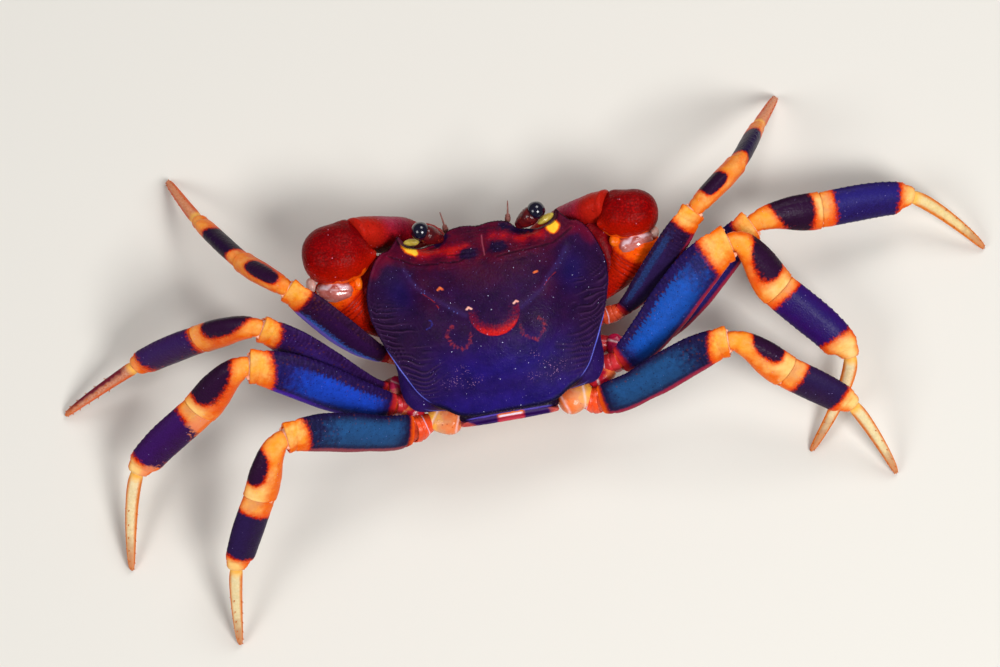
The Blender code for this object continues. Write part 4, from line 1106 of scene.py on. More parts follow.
def build_finishes():
    rows = dict(PLAIN_FINISHES)
    for (side, number), (merus, patch, band, tones) in LEG_TONES.items():
        leg = f"{side} {number}"
        warm = number == 1 or leg == "left 2"
        near, far = WARM_TONES[number] if warm else PALE_TONES
        strip = PINK_STRIP if leg == "left 3" else None
        for name, *row in (
                ("merus", merus_colour(*merus), 0.36, 0.2, 0.04, 0.035),
                ("carpus", banded_colour(*patch, tones=CARPUS_TONES, pale=near), 0.3, 0.22, 0.035),
                ("propodus", banded_colour(*band, power=5.0, tones=tones, pale=far, strip=strip),
                 0.3, 0.2, 0.035)):
            rows[f"{name}_{side}_{number}"] = (f"{name} {leg}", *row)
    for number in LEG_ROOTS:
        rows[f"dactyl_{number}"] = (
            f"dactyl {number}", dactyl_colour(*DACTYL_TONES[number]), 0.3, 0.18, 0.02)
        rows[f"base_{number}"] = (
            f"leg base {number}", base_colour(*BASE_TONES[number]), 0.26, 0.3, 0.03, 0.3)
    for number, tones in COXA_TONES.items():
        rows[f"coxa_{number}"] = (f"coxa {number}", coxa_colour(*tones), 0.24, 0.3, 0.02, 0.07, 0.2)
    return {key: new_finish(*row) for key, row in rows.items()}


FINISH = build_finishes()


# Shell and thorax.

def shell_margins():
    """The whole margin and the same without its notches, at the same places."""
    half = np.array(HALF_MARGIN)
    padded = np.concatenate([half[1:2] * (-1, 1), half, half[-2:-1] * (-1, 1)])
    line = []
    for row in zip(padded, padded[1:], padded[2:], padded[3:]):
        steps = max(1, round(float(np.linalg.norm(row[2] - row[1])) / MARGIN_SPACING))
        line.append(through_four(*row, (np.arange(steps) / steps)[:, None]))
    line = np.concatenate([*line, half[-1:]])
    margin = np.concatenate([line, line[1:-1][::-1] * (-1, 1)])
    even = margin
    for _ in range(2):
        even = sum(np.roll(even, step, axis=0) for step in range(-4, 5)) / 9
    t = (np.arange(MARGIN_DETAIL) / MARGIN_DETAIL)[None, :, None]
    return [through_four(*(np.roll(points, step, axis=0)[:, None] for step in (1, 0, -1, -2)),
                         t).reshape(-1, 2) for points in (margin, even)]


def margin_height(flat):
    x, y = np.abs(flat[..., 0]), flat[..., 1]
    height = SIDE_RIM_Z + (REAR_RIM_Z - SIDE_RIM_Z) * smooth(*REAR_FALL, y)
    height = height + (ORBIT_TOOTH_Z - SIDE_RIM_Z) * smooth(*FRONT_RISE, y)
    return height + (BROW_Z - ORBIT_TOOTH_Z) * smooth(*BROW_SPAN, x) * smooth(*FRONT_RISE, y)


def shell_relief(flat):
    total = 0
    for (x, y), (wide, long), height in SHELL_SWELLINGS.values():
        reach = ((np.abs(flat[..., 0]) - x) / wide) ** 2 + ((flat[..., 1] - y) / long) ** 2
        total = total + height * np.exp(-2 * reach)
    return total


def wall_rings(margin, levels, places, first=()):
    """Rings of a wall through its levels, each a share of the margin's reach and a height."""
    y = margin[:, 1]
    face, rear = smooth(*FACE_ZONE, y), smooth(*REAR_ZONE, y)
    arm, flank = smooth(*ARM_ZONE, y) - face, smooth(*FLANK_ZONE, y) - rear
    weights = np.stack([1 - arm - face - flank - rear, arm, face, flank, rear])
    rings = list(first)
    for level in levels:
        share, height = np.array(level).T @ weights
        flat = SHELL_CENTRE + (margin - SHELL_CENTRE) * share[:, None]
        rings.append(np.concatenate([flat, height[:, None]], axis=1))
    return along_table(places, np.arange(len(rings)), np.array(rings))


def spots(flat, places):
    """Soft round spots, from 1 in the middle of each to 0."""
    total = sum(np.exp(-((flat[..., 0] - x) ** 2 + (flat[..., 1] - y) ** 2) / reach ** 2)
                for x, y, reach in places)
    return np.clip(total, 0, 1.5)


def lines_distance(flat, lines):
    return np.min([line_distance(flat, line) for line in lines], axis=0)


def shell_marks(flat, inside, points, top):
    """Named values of the shell's marks, over its top."""
    x, y = flat[..., 0], flat[..., 1]
    away = {name: lines_distance(flat, lines) for name, lines in MARK_LINES.items()}
    brow = y - np.interp(np.abs(x), *np.array(BROW_CREST).T)
    depth = CRESCENT_REACH - np.linalg.norm(flat - np.array(CRESCENT_MIDDLE), axis=-1)
    ring = 0
    for line, (mx, my) in zip(RING_LINES, RING_MIDDLES):
        turn = np.arctan2(y - my, x - mx) * 16 + 9 * cloud(points, 0.7, 12)
        strokes = smooth(0.0, 0.9, np.cos(turn)) * smooth(0.25, 0.6, cloud(points, 0.5, 13))
        off_line = line_distance(flat, line) + 0.25 * (cloud(points, 0.45, 14) - 0.5)
        ring = np.maximum(ring, bell(off_line, 0.27) * (0.35 + 0.65 * strokes))
    crescent = smooth(-0.03, 0.12, depth) * smooth(2.0, 0.1, depth) * smooth(-1.9, -0.9, y)
    values = {name: spots(flat, places) for name, places in MARK_SPOTS.items()}
    values.update({
        "behind": smooth(-9.0, -2.0, y), "rearward": smooth(0.0, 7.0, y),
        "beside": smooth(4.2, 1.2, inside) * smooth(-10.5, -6.5, y) * smooth(10.0, 6.0, y),
        "brow": smooth(1.6, -0.9, brow), "ring": ring,
        "crimson": bell(away["crimson"], 0.7) + 0.6 * bell(away["middle"], 0.5),
        "crescent": crescent * (0.25 + 0.75 * smooth(-0.4, 1.9, y)),
        "dashes": bell(away["dashes"], 0.1), "crest": bell(away["crest"], 0.15),
        "neck": bell(away["neck"], 0.3), "hairs": bell(away["hairs"], 0.42),
        "pearls": smooth(0.17, 0.07, away["pearls"]), "ambers": smooth(0.2, 0.08, away["ambers"]),
        "hook": 0.8 * smooth(0.11, 0.04, away["hook"]), "middle": bell(away["middle"], 0.07) * 0.7,
    })
    values = {name: value * top for name, value in values.items()}
    rise = (0.13 * bell(away["crest"], 0.55) - 0.11 * bell(away["crest"], 0.14)
            - 0.16 * bell(away["neck"], 0.55) - 0.12 * bell(x, 0.25) * smooth(-7.6, -9.0, y)) * top
    rise = rise - 0.10 * values["crescent"] - 0.05 * (values["ring"] + values["dashes"])
    return values, rise + 0.07 * (values["pearls"] + values["ambers"])


def stroke_lines(points, inside, from_front, rim_y, top):
    """Fine folds that run inward and back from the side margins: their grooves and their lips,
    which the shell's colour darkens as painted shade and lightens as a painted highlight.
    """
    slope = 2.1 - 1.0 * smooth(-8, -3, rim_y) + 1.0 * smooth(0, 6, rim_y)
    reach = 2.4 + 1.2 * smooth(0, 6, rim_y)
    bend = slope * reach * (1 - np.exp(-inside / reach))
    waver = (cloud(points, 2.4, 5) - 0.5) * 1.3 + (cloud(points, 0.9, 6) - 0.5) * 0.35
    phase = (from_front - bend) / 0.86 + waver
    whole = np.floor(phase)
    length = 2.2 + 2.4 * hashed(np.stack([whole.astype(np.int64)] * 3, axis=-1), 15)
    zone = smooth(0.05, 0.35, inside) * smooth(length, length * 0.55, inside)
    zone = zone * smooth(-6.8, -3.6, rim_y) * smooth(9.0, 6.5, rim_y) * top
    zone = zone * smooth(0.22, 0.5, cloud(points, 1.1, 7) + 0.35 * smooth(2.0, 0.5, inside))
    groove, lip = bell(off_whole(phase), 0.12) * zone, bell(phase - whole - 0.22, 0.13) * zone
    return groove, lip, lip * 0.055 - groove * 0.10 + 0.02 * zone


def build_shell():
    margin, even = shell_margins()
    shares = np.concatenate([np.linspace(0.012, 0.9, 108), np.linspace(0.9, 1.0, 24)[1:]])
    share = shares[:, None]
    blend = smooth(EDGE_SHARE, 1.0, shares[:, None, None])
    rim = even * (1 - blend) + margin * blend
    flat = SHELL_CENTRE + (rim - SHELL_CENTRE) * shares[:, None, None]
    edge = margin_height(rim)
    height = edge + (DOME_TOP_Z - edge) * (1 - share ** DOME_POWER)
    height = height + shell_relief(flat) * (1 - share ** RELIEF_POWER)
    dome = np.concatenate([flat, height[..., None]], axis=-1)
    levels = np.concatenate([np.linspace(0, 3, 60)[1:], np.linspace(3, 5, 16)[1:]])
    wall = wall_rings(margin, SHELL_WALL, levels, dome[-1:])
    points = np.concatenate([dome, wall])
    row = np.arange(len(points))[:, None]
    top = (row < len(dome)).astype(float)
    reach = np.linalg.norm(margin - SHELL_CENTRE, axis=1)
    inside = np.concatenate([(1 - share) * reach, np.zeros((len(wall), len(margin)))])
    around = np.concatenate([[0], np.cumsum(np.linalg.norm(np.diff(margin, axis=0), axis=1))])
    from_front = np.minimum(around, around[-1] - around) + 0.0 * row
    flat, x, y = points[..., :2], points[..., 0], points[..., 1]
    rim_y = np.broadcast_to(margin[None, :, 1], inside.shape)
    values, rise = shell_marks(flat, inside, points, top)
    values["groove"], values["lip"], folds = stroke_lines(points, inside, from_front, rim_y, top)
    wrinkle = np.cos(y * math.tau / 0.5 + 7 * cloud(points, 1.6, 17))
    wrinkle = wrinkle * smooth(0.35, 0.6, cloud(points, 1.0, 18)) * smooth(-5.8, -7.2, y)
    rise = rise + folds + 0.022 * wrinkle * smooth(6.5, 4.5, np.abs(x)) * top
    coarse = np.clip(0.5 * values["brow"], 0, 1)
    rise = rise + texture(points, (0.085, 0.36, 3)) * coarse
    rise = rise + 0.1 * (cloud(points, 3.2, 9) - 0.5) * top
    rise = rise + 0.03 * (granules(points, 0.34, 4) - 0.4) * (1 - coarse) * np.maximum(top, 0.5)
    rise = rise + 0.05 * (cloud(points, 1.1, 8) - 0.5)

    # A thin beaded rim along the margin and round the orbits.
    from_rim = np.concatenate([inside[:len(dome)], np.linalg.norm(wall - dome[-1], axis=-1)])
    beaded = 0.75 + 0.25 * np.cos(from_front * math.tau / 0.42)
    rise = rise + 0.13 * bell(from_rim - 0.1, 0.16) * beaded
    posterior = smooth(7.6, 8.8, rim_y)
    flank = smooth(0.3, 1.4, rim_y) * smooth(8.2, 7.2, rim_y)
    values["edge"] = (flank * smooth(0.075, 0.03, from_rim)
                      + 0.8 * posterior * bell(from_rim - 1.35, 0.09) * (1 - top))
    rear_rim = smooth(0.6, 0.35, from_rim) * (1 - top) + 0.8 * smooth(0.4, 0.1, from_rim) * top
    front_rim = smooth(-3, -6, rim_y) * smooth(0.16, 0.05, from_rim) * 0.8
    values["rim"] = np.clip(posterior * rear_rim + front_rim, 0, 1)
    values["flank"] = (1 - top) * (1 - posterior)
    normals = -ring_normals(points)
    fade = smooth(0, 6, row) * smooth(len(points) - 1, len(points) - 12, row)
    points = points + normals * (rise * fade)[..., None]

    # Orbits: hollows pressed in by an ellipsoid, with a raised rim.
    for side in SIDES:
        centre, radii = mirrored(ORBIT_CENTRE, side), np.array(ORBIT_RADII)
        away = (points - centre) / radii
        distance = np.linalg.norm(away, axis=-1)
        off, far = distance[..., None], distance[..., None] >= 1
        lifted = points + normals * (0.14 * bell(off - 1.06, 0.06)) * top[..., None]
        points = np.where(far, lifted, centre + away / np.maximum(off, 0.05) * radii)
        hollow = smooth(1.02, 0.96, distance)
        for name in ("red", "yellow", "edge", "rim", "crimson"):
            values[name] = values[name] * (1 - hollow)
        values["brow"] = np.maximum(values["brow"], hollow)
        line = bell(distance - 1.05, 0.035) * smooth(12.5, 13.5, points[..., 2])
        values["rim"] = np.maximum(values["rim"], line * 0.9)
    new_piece("carapace_shell", tube(points, values, True), "shell", "carapace", "carapace")


def build_thorax():
    points = wall_rings(shell_margins()[0][::3], THORAX_WALL, np.linspace(0, 6, 130))
    x, y, z = np.abs(points[..., 0]), points[..., 1], points[..., 2]
    groove = np.max([bell(y - place - 0.12 * x, 0.22) for place in BREAST_GROOVES], axis=0)
    groove = groove * smooth(1.2, 2.6, x) * smooth(9.2, 8.0, z)
    groove = np.maximum(groove, 0.7 * bell(x, 0.3) * smooth(5.6, 5.0, z))
    rise = texture(points, (0.02, 0.5, 9), (0.05, 1.4, 2)) - 0.28 * groove
    fade = smooth(0, 8, np.arange(len(points)))[:, None] * smooth(0.5, 2.0, np.hypot(x, y + 1.5))
    values = {"groove": groove, "low": smooth(8.5, 5.8, z)}
    new_piece("thorax_breast", tube(raised(points, -rise * fade), values, True), "thorax",
              "thorax", "thorax")


# Limbs.

def limb(start, end, facings, outward, profile, size, rows, arrival=SWEEP):
    """Centre line of a limb length, with its directions and half sizes ring by ring."""
    places = np.linspace(0, 1, rows)
    t = places[:, None]
    reach = np.linalg.norm(end - start)
    leaving, arriving = facings[0] * reach * SWEEP, facings[1] * reach * arrival
    ahead = unit(start * (6 * t * t - 6 * t) + leaving * (3 * t * t - 4 * t + 1)
                 + end * (6 * t - 6 * t * t) + arriving * (3 * t * t - 2 * t))
    rising = np.empty_like(ahead)
    current = np.array(outward, float)
    for k, direction in enumerate(ahead):
        current = rising[k] = unit(current - direction * current.dot(direction))
    return sized_form(places, bent(start, end, leaving, arriving, t), ahead, rising, profile,
                      size, reach)


def sized_form(places, centre, ahead, rising, profile, size, length):
    table = np.array(profile, float)
    shares = along_table(places, table[:, 0], table[:, 1:])
    return {"place": places, "centre": centre, "ahead": ahead, "rising": rising,
            "wide": size[0] * shares[:, 0] / 2, "thick": size[1] * shares[:, -1] / 2,
            "belly": np.zeros(len(places)), "length": length}


# Shaped ends of a length: offset along it and share of its last ring.
DOME_END = ((-0.50, 0.04), (-0.49, 0.25), (-0.45, 0.45), (-0.38, 0.62), (-0.28, 0.77),
            (-0.17, 0.88), (-0.08, 0.95))
CUP_END = ((0.08, 0.99), (0.12, 0.965), (0.11, 0.935), (0.0, 0.90), (-0.25, 0.86), (-0.45, 0.78),
           (-0.55, 0.6), (-0.6, 0.35), (-0.62, 0.05))
TIP_END = ((0.0, 0.6), (0.0, 0.1))
STALK_END = ((0.05, 0.93), (0.08, 0.8), (0.08, 0.1))


def end_rings(form, k, ends):
    """Rings that go on from ring k, each moved along the length and made smaller."""
    offsets, shares = np.array(ends, float).T
    return {"ahead": np.repeat(form["ahead"][k][None], len(ends), 0),
            "rising": np.repeat(form["rising"][k][None], len(ends), 0),
            "centre": form["centre"][k] + form["ahead"][k] * offsets[:, None],
            "wide": form["wide"][k] * shares, "thick": form["thick"][k] * shares,
            "belly": np.full(len(ends), form["belly"][k]),
            "place": form["place"][k] + offsets / form["length"], "body": np.zeros(len(ends))}


def with_ends(form, before, after):
    """The same limb length with shaped ends."""
    first, last = end_rings(form, 0, before), end_rings(form, -1, after)
    whole = {**form, "body": np.ones(len(form["place"]))}
    made = {name: np.concatenate([first[name], whole[name], last[name]]) for name in first}
    return {**made, "length": form["length"]}


def ring_grid(form, count, crest):
    """Points of every ring of a limb length, and the turn of each round it."""
    turn, cos, sin = turns(count)
    wide, thick, belly = columns(form["wide"], form["thick"], form["belly"])
    flat = np.cross(form["ahead"], form["rising"])
    lower = 1 + belly * smooth(0, -0.6, cos)
    points = (form["centre"][:, None] + form["rising"][:, None] * wide * cos * lower
              + flat[:, None] * thick * sin * (1 - crest * cos))
    return points, np.where(turn > math.pi, turn - math.tau, turn)[None]


def limb_skin(form, count, crest, relief, before=DOME_END, after=CUP_END, across=None):
    """Skin of a limb length; relief gives its height over the plain form, and named values."""
    shaped = with_ends(form, before, after)
    points, turn = ring_grid(shaped, count, crest)
    place = shaped["place"][:, None]
    rise, named = relief(points, place, turn, form["length"])
    points = raised(points, rise * shaped["body"][:, None])
    points[..., 2] = np.maximum(points[..., 2], 0)
    across = np.cos(turn) if across is None else across
    return tube(points, {"along": place, "across": across, **named})


def seen_across(form, side, count):
    """Place across the back of a length: 1 at its upper edge and -1 at its lower edge."""
    k = len(form["place"]) // 2
    ahead, rising = form["ahead"][k], form["rising"][k]
    facing = math.atan2(ABOVE @ np.cross(ahead, rising), ABOVE @ rising)
    return np.cos(turns(count)[0] - facing - handed(side) * math.pi / 2)[None]


def merus_relief(points, place, turn, length):
    along, from_end, side = place * length, (1 - place) * length, np.abs(turn)
    waver = cloud(points, 1.5, 21) * 1.3 + cloud(points, 0.5, 22) * 0.6
    tooth = off_whole(along / 0.58 + waver + 0.5 * side)
    comb = np.clip(1 - 3.2 * tooth, 0, 1) * (0.45 + 0.55 * cloud(points, 0.6, 23))
    comb = comb * smooth(0.04, 0.14, place) * smooth(0.88, 0.8, place)
    serration = np.clip(np.cos(along * math.tau / 0.62 + 2 * cloud(points, 3, 24)), 0, 1) ** 1.5
    serration = serration * smooth(0.03, 0.1, place) * smooth(0.97, 0.9, place)
    rise = 0.10 * serration * bell(side, 0.14) - 0.02 * comb * smooth(1.6, 0.9, side)
    rise = rise + 0.05 * bell(math.pi - side, 0.16) * beads(along, 0.5)
    rise = rise + texture(points, (0.020, 0.32, 25), (0.03, 2.2, 26))
    rise = rise + 0.16 * smooth(1.35, 0.2, from_end) - 0.12 * bell(from_end - 1.5, 0.18)
    rise = rise + 0.12 * smooth(0.9, 0.1, from_end) * bell(side - 0.1, 0.5)
    return rise - 0.07 * bell(place - 0.055 - 0.015 * np.sin(turn), 0.012), {"comb": comb}


def carpus_relief(points, place, turn, length):
    along, side = place * length, np.abs(turn)
    ridge = bell(side - 0.9, 0.16) + bell(side - 0.05, 0.18)
    rise = 0.06 * ridge * smooth(0.1, 0.3, place) * (0.6 + 0.4 * beads(along, 0.7) ** 2)
    rise = rise + texture(points, (0.022, 0.3, 31), (0.03, 0.9, 32))
    return rise + 0.05 * bell(length - along - 0.1, 0.2) - 0.08 * bell(along - 1.0, 0.25), {}


def propodus_relief(points, place, turn, length):
    along, side = place * length, np.abs(turn)
    edges = (bell(side, 0.14) + bell(math.pi - side, 0.14)) * beads(along, 0.8) ** 2
    rise = 0.08 * edges * smooth(0.15, 0.3, place) * smooth(0.95, 0.85, place)
    rise = rise + texture(points, (0.02, 0.28, 41), (0.03, 0.9, 42))
    rise = rise + 0.04 * bell(along - 0.1, 0.2)
    from_end = length - along
    return rise + 0.081 * bell(from_end - 0.3, 0.28) - 0.09 * bell(from_end - 1.15, 0.2), {}


def dactyl_relief(points, place, turn, length):
    ribs = np.cos(turn * 4) * smooth(0.05, 0.2, place) * smooth(1.0, 0.85, place)
    return 0.035 * ribs + texture(points, (0.01, 0.25, 51)), {"spine": 0.0}


def base_relief(points, place, turn, length):
    groove = bell(place - 0.53, 0.03) + 0.7 * bell(place - 0.86, 0.02)
    rise = texture(points, (0.012, 0.35, 62), (0.03, 0.8, 61))
    return rise - 0.16 * groove + 0.05 * bell(place - 0.6, 0.03), {}


def spines(form, length):
    """Small horny spines in rows along a dactyl."""
    skins = []
    for k, turn in enumerate(SPINE_TURNS):
        for place in np.arange(0.34, 0.9, 0.11) + 0.03 * (k % 2):
            i = int(round(place * (len(form["place"]) - 1)))
            rising, ahead = form["rising"][i], form["ahead"][i]
            wide, thick = rising * math.cos(turn), np.cross(ahead, rising) * math.sin(turn)
            root = form["centre"][i] + wide * form["wide"][i] + thick * form["thick"][i]
            point = unit(wide + thick + ahead * 0.9)
            size = length * (1 - 0.4 * place)
            side = unit(np.cross(point, rising + 0.01))
            _, cos, sin = turns(6)
            reach, radius = columns(*np.array(SPINE_RINGS).T)
            rows = root + point * reach * size + (cos * side + sin * np.cross(point, side)) * radius
            skins.append(tube(rows, {"along": place, "across": 1.0, "spine": 1.0}))
    return skins


def joint_facing(before, joint, after, share=0.5):
    return unit(unit(joint - before) * share + unit(after - joint) * (1 - share))


def leg_joints(side, number):
    hip, stance, last_swing, _ = LEG_STANCE[side, number]
    lengths = LEG_LENGTHS[number]
    joints = [np.array(hip, float)]
    for length, (swing, lift) in zip(lengths, stance):
        joints.append(joints[-1] + turned(side, swing, lift) * length)
    fall = -math.degrees(math.asin(joints[-1][2] / lengths[-1]))
    tip = joints[-1] + turned(side, last_swing, fall) * lengths[-1]
    tip[2] = 0.0
    return [*joints, tip]


def leaning(side, along, lean):
    along = unit(along)
    ahead = unit(np.cross(UP, along)) * -handed(side)
    tipped = UP * math.cos(math.radians(lean)) + ahead * math.sin(math.radians(lean))
    return unit(tipped - along * tipped.dot(along))


def bridge(first, second, crests, count=40):
    """Soft skin from inside the end of one length to inside the start of the next."""
    rings = []
    for form, k, ends, crest in ((first, -1, BRIDGE_START, crests[0]),
                                 (second, 0, BRIDGE_END, crests[1])):
        rings.append(ring_grid(end_rings(form, k, ends), count, crest)[0])
    here, there = rings
    match = min(range(count),
                key=lambda roll: np.sum((np.roll(there[0], roll, axis=0) - here[-1]) ** 2))
    table = np.concatenate([here, np.roll(there, match, axis=1)])
    points = along_table(np.array((0, 1, 1.5, 2, 2.5, 3, 3.5, 4, 5)), np.arange(6), table)
    return tube(points, {"along": float(crests[0] == 0)})


def hinge_knob(form, side, turn, size):
    """A rounded knob at the edge of a joint."""
    rising, ahead, centre = form["rising"][-1], form["ahead"][-1], form["centre"][-1]
    out = unit(np.cross(ahead, ABOVE)) * handed(side) * math.cos(math.radians(turn))
    across, through = out @ rising, out @ np.cross(ahead, rising)
    reach = 1 / math.hypot(across / form["wide"][-1], through / form["thick"][-1])
    if across < 0:
        reach = reach * (1 + 0.5 * form["belly"][-1])
    ball = solid_round((size * 1.25, size, size), rows=14, count=18, power=0.9)
    place = centre + out * (reach - size * 0.75) + ahead * 0.05
    points = place + ball @ np.stack([ahead, out, ABOVE])
    return tube(points, {"along": 0.0})


def build_coxa(side, number):
    """Swollen root of a leg, between the breast and its next length."""
    start, end, width, depth = COXAE[side, number]
    start, end = np.array(start), np.array(end)
    along = unit(end - start)
    across = unit(np.cross(UP, along))
    ball = solid_round((1, 1, 1), rows=72, count=80, power=0.78)
    x, y, z = (ball[..., k:k + 1] for k in range(3))
    waist = 1 + 0.10 * z
    points = ((start + end) / 2 + along * z * np.linalg.norm(end - start) / 2
              + across * x * width / 2 * waist + np.cross(along, across) * y * depth / 2 * waist)
    x, z = ball[..., 0], ball[..., 2]
    crease = bell(z + 0.45 - 0.3 * x, 0.07)
    rise = texture(points, (0.015, 0.35, 132), (0.06, 0.9, 131)) - 0.06 * crease
    crease = np.maximum(crease, bell(z - 0.82 + 0.12 * x ** 2, 0.05))
    toward = x * handed(side) * (-1 if number == 3 else 1)
    values = {"along": 0.5 + 0.5 * z, "across": toward, "crease": crease}
    new_piece(f"leg_{side}_{number}_coxa", tube(raised(points, rise), values), f"coxa_{number}",
              "leg_base")


RELIEFS = {"base": base_relief, "merus": merus_relief, "carpus": carpus_relief,
           "propodus": propodus_relief, "dactyl": dactyl_relief}


def build_leg(side, number):
    root = mirrored(LEG_ROOTS[number], side)
    hip, knee, wrist, ankle, tip = leg_joints(side, number)
    facings = [unit(hip - root), joint_facing(root, hip, knee),
               joint_facing(hip, knee, wrist, KNEE_SHARE), joint_facing(knee, wrist, ankle),
               joint_facing(wrist, ankle, tip), -UP]
    outward = {"base": UP, "merus": leaning(side, knee - hip, LEG_STANCE[side, number][3])}
    widths = dict(zip(LEG_PARTS, (BASE_SIZE[0], *LEG_WIDTHS[number])))
    flare, (reach, thick, wide) = FLARES[number], BELLIES[side, number]
    ends = [root + facings[0] * GAP / 2, hip, knee, wrist, ankle, tip]
    forms = {}
    for k, name in enumerate(LEG_PARTS):
        foot = name == "dactyl"
        rows, count = LEG_MESH[name]
        start = ends[k] + facings[k] * GAP / 2
        end = ends[k + 1] if foot else ends[k + 1] - facings[k + 1] * GAP / 2
        size = BASE_SIZE
        if name != "base":
            size = widths[name], widths[name] * THICKNESS_SHARES[name]
        form = limb(start, end, facings[k:k + 2], outward.get(name, knee - (hip + tip) / 2),
                    PROFILES[name], size, rows, FOOT_SWEEP if foot else SWEEP)
        forms[name], place, growth = form, form["place"], {}
        if name in ("carpus", "propodus"):
            ramp = (0.2, 0.95) if name == "carpus" else (1.02, 0.8)
            form["belly"] = reach * smooth(*ramp, place)
            growth = {"thick": thick, "wide": wide}
        if name == "base":
            swell = flare * smooth(0.5, 1.0, place)
            growth = {"thick": 1 + swell, "wide": 1 + 0.3 * swell}
        if name == "merus":
            growth = {"wide": 1 + 0.8 * flare * smooth(0.34, 0.0, place)}
        for label, share in growth.items():
            form[label] = form[label] * share
        skin = limb_skin(form, count, CRESTS[name], RELIEFS[name],
                         after=TIP_END if foot else CUP_END, across=seen_across(form, side, count))
        if foot:
            skin = together([skin, *spines(form, SPINE_LENGTH)])
            skin.points[:, 2] = np.maximum(skin.points[:, 2], 0)
        finish = f"{name}_{side}_{number}"
        finish = finish if finish in FINISH else f"{name}_{number}"
        node = f"leg_{side}_{number}_{name}"
        new_piece(f"{node}_shell", skin, finish, "leg_base" if name == "base" else name, node)
    if (side, number) in COXAE:
        build_coxa(side, number)
    skins = [bridge(forms[a], forms[b], (CRESTS[a], CRESTS[b]))
             for a, b in zip(LEG_PARTS, LEG_PARTS[1:])]
    skins += [hinge_knob(forms[name], side, turn, size) for name, turn, size in HINGE_KNOBS]
    new_piece(f"leg_{side}_{number}_joint_skins", together(skins), "membrane", "leg_base")


# Claws.

def arm_relief(toward):
    def relief(points, place, turn, length):
        cos, sin = np.cos(turn), toward * np.sin(turn)
        phase = place * length / 0.55 + cloud(points, 1.8, 71) * 0.9 + 0.5 * cos
        upper = smooth(-0.2, 0.4, cos - 0.5 * sin)
        zone = smooth(0.2, 0.4, place) * smooth(0.76, 0.7, place) * upper
        zone = zone * smooth(0.38, 0.62, cloud(points, 0.9, 72))
        fold = bell(off_whole(phase), 0.14) * zone
        bands = sum(bell(place - middle - 0.012 * cos, 0.01) for middle in ARM_BANDS)
        rise = texture(points, (0.04, 0.34, 73)) - 0.045 * fold - 0.06 * bands
        rise = rise + 0.12 * bell(place - 0.95, 0.04)
        rise = rise + 0.10 * bell(sin - 0.35, 0.12) * smooth(0.2, 0.5, place)
        # deep is painted shade on the arm's inner face, towards the shell; wrinkle is painted shade
        # in the folds.
        deep = smooth(0.15, 0.75, sin) * smooth(0.97, 0.85, place) * 0.85
        return rise, claw_values(wrinkle=fold, warm=0.75 * upper * smooth(0.3, 0.88, place),
                                 deep=deep)
    return relief


def claw_values(**given):
    """Named values of a claw's surface; those that aren't given are zero."""
    return {**dict.fromkeys(("along", "across", "wrinkle", "blush", "pale", "warm", "deep"), 0.0),
            **given}


def build_arm(side, claw, elbow_facing):
    root, elbow = np.array(claw["root"]), np.array(claw["elbow"])
    outward, toward = unit(mirrored(ARM_FACING, side)), handed(side)
    form = limb(root + outward * GAP, elbow - elbow_facing * GAP / 2, (outward, elbow_facing), UP,
                ARM_PROFILE, (1, 1), 130)
    shaped = with_ends(form, DOME_END, CUP_END)
    points, turn = ring_grid(shaped, 96, ARM_CREST)
    place = shaped["place"][:, None]
    rise, values = arm_relief(toward)(points, place, turn, shaped["length"])
    flat = np.cross(shaped["ahead"], shaped["rising"])[:, None] * toward
    inner = np.clip(toward * np.sin(turn), 0, 1) ** 0.8 * smooth(0.1, 0.45, place)
    flange = inner * (0.85 + 0.5 * smooth(0.6, 0.95, place)) * smooth(1.0, 0.2, np.cos(turn))
    points = raised(points, rise * shaped["body"][:, None])
    points = points + flat * flange[..., None] * (1 if side == "left" else 0.9)
    values = {**values, "along": place, "across": np.cos(turn)}
    new_piece(f"claw_{side}_merus_shell", tube(points, values), "arm", "claw",
              f"claw_{side}_merus")


def plane_pressed(points, place, facing):
    """Points moved back onto a plane where they pass it."""
    over = np.maximum((points - place) @ facing, 0)
    return points - over[..., None] * facing


def build_wrist(side, claw, elbow, elbow_facing, palm_joint, wrist_facing):
    middle = np.array(claw["wrist"])
    points = solid_round(claw["radii"], middle, 130, 160, BLOCK_POWER)
    tooth = middle + mirrored(WRIST_TOOTH, side)
    distance = np.linalg.norm(points - tooth, axis=-1)
    points = points + mirrored((-0.4, -0.1, 0.2), side) * bell(distance, 1.1)[..., None]
    points = points + mirrored((-1.5, -0.7, 0.2), side) * (bell(distance, 0.8) ** 1.5)[..., None]
    off_corner = np.linalg.norm(points - middle - mirrored(WRIST_CORNER, side), axis=-1)
    points = points + mirrored((-0.25, -0.5, 0.1), side) * bell(off_corner, 1.1)[..., None]
    phase = points[..., 1] / 0.5 + cloud(points, 1.6, 81) * 2.2 + 0.15 * points[..., 0]
    fold = bell(off_whole(phase), 0.14) * smooth(0.5, 0.7, cloud(points, 0.55, 82))
    points = raised(points, texture(points, (0.03, 0.26, 84), (0.05, 2.2, 85)) - 0.035 * fold)
    rear = (points - elbow) @ -elbow_facing
    hem = smooth(-2.2, -0.5, rear + 1.4 * (cloud(points, 0.7, 86) - 0.5))
    # wrinkle is painted shade in the folds; deep makes the front of the wrist darker.
    values = claw_values(
        along=1 + 1.3 * smooth(0.55, 0.85, hem) + 1.2 * bell(distance, 1.0), wrinkle=0.8 * fold,
        warm=0.75 * smooth(-5.5, -0.6, rear) ** 1.5,
        deep=0.55 * smooth(-9.5, -15.5, points[..., 1]))
    points = plane_pressed(points, elbow + elbow_facing * GAP / 2, -elbow_facing)
    points = plane_pressed(points, palm_joint - wrist_facing * GAP / 2, wrist_facing)
    new_piece(f"claw_{side}_carpus_shell", tube(points, values), "wrist", "claw",
              f"claw_{side}_carpus")


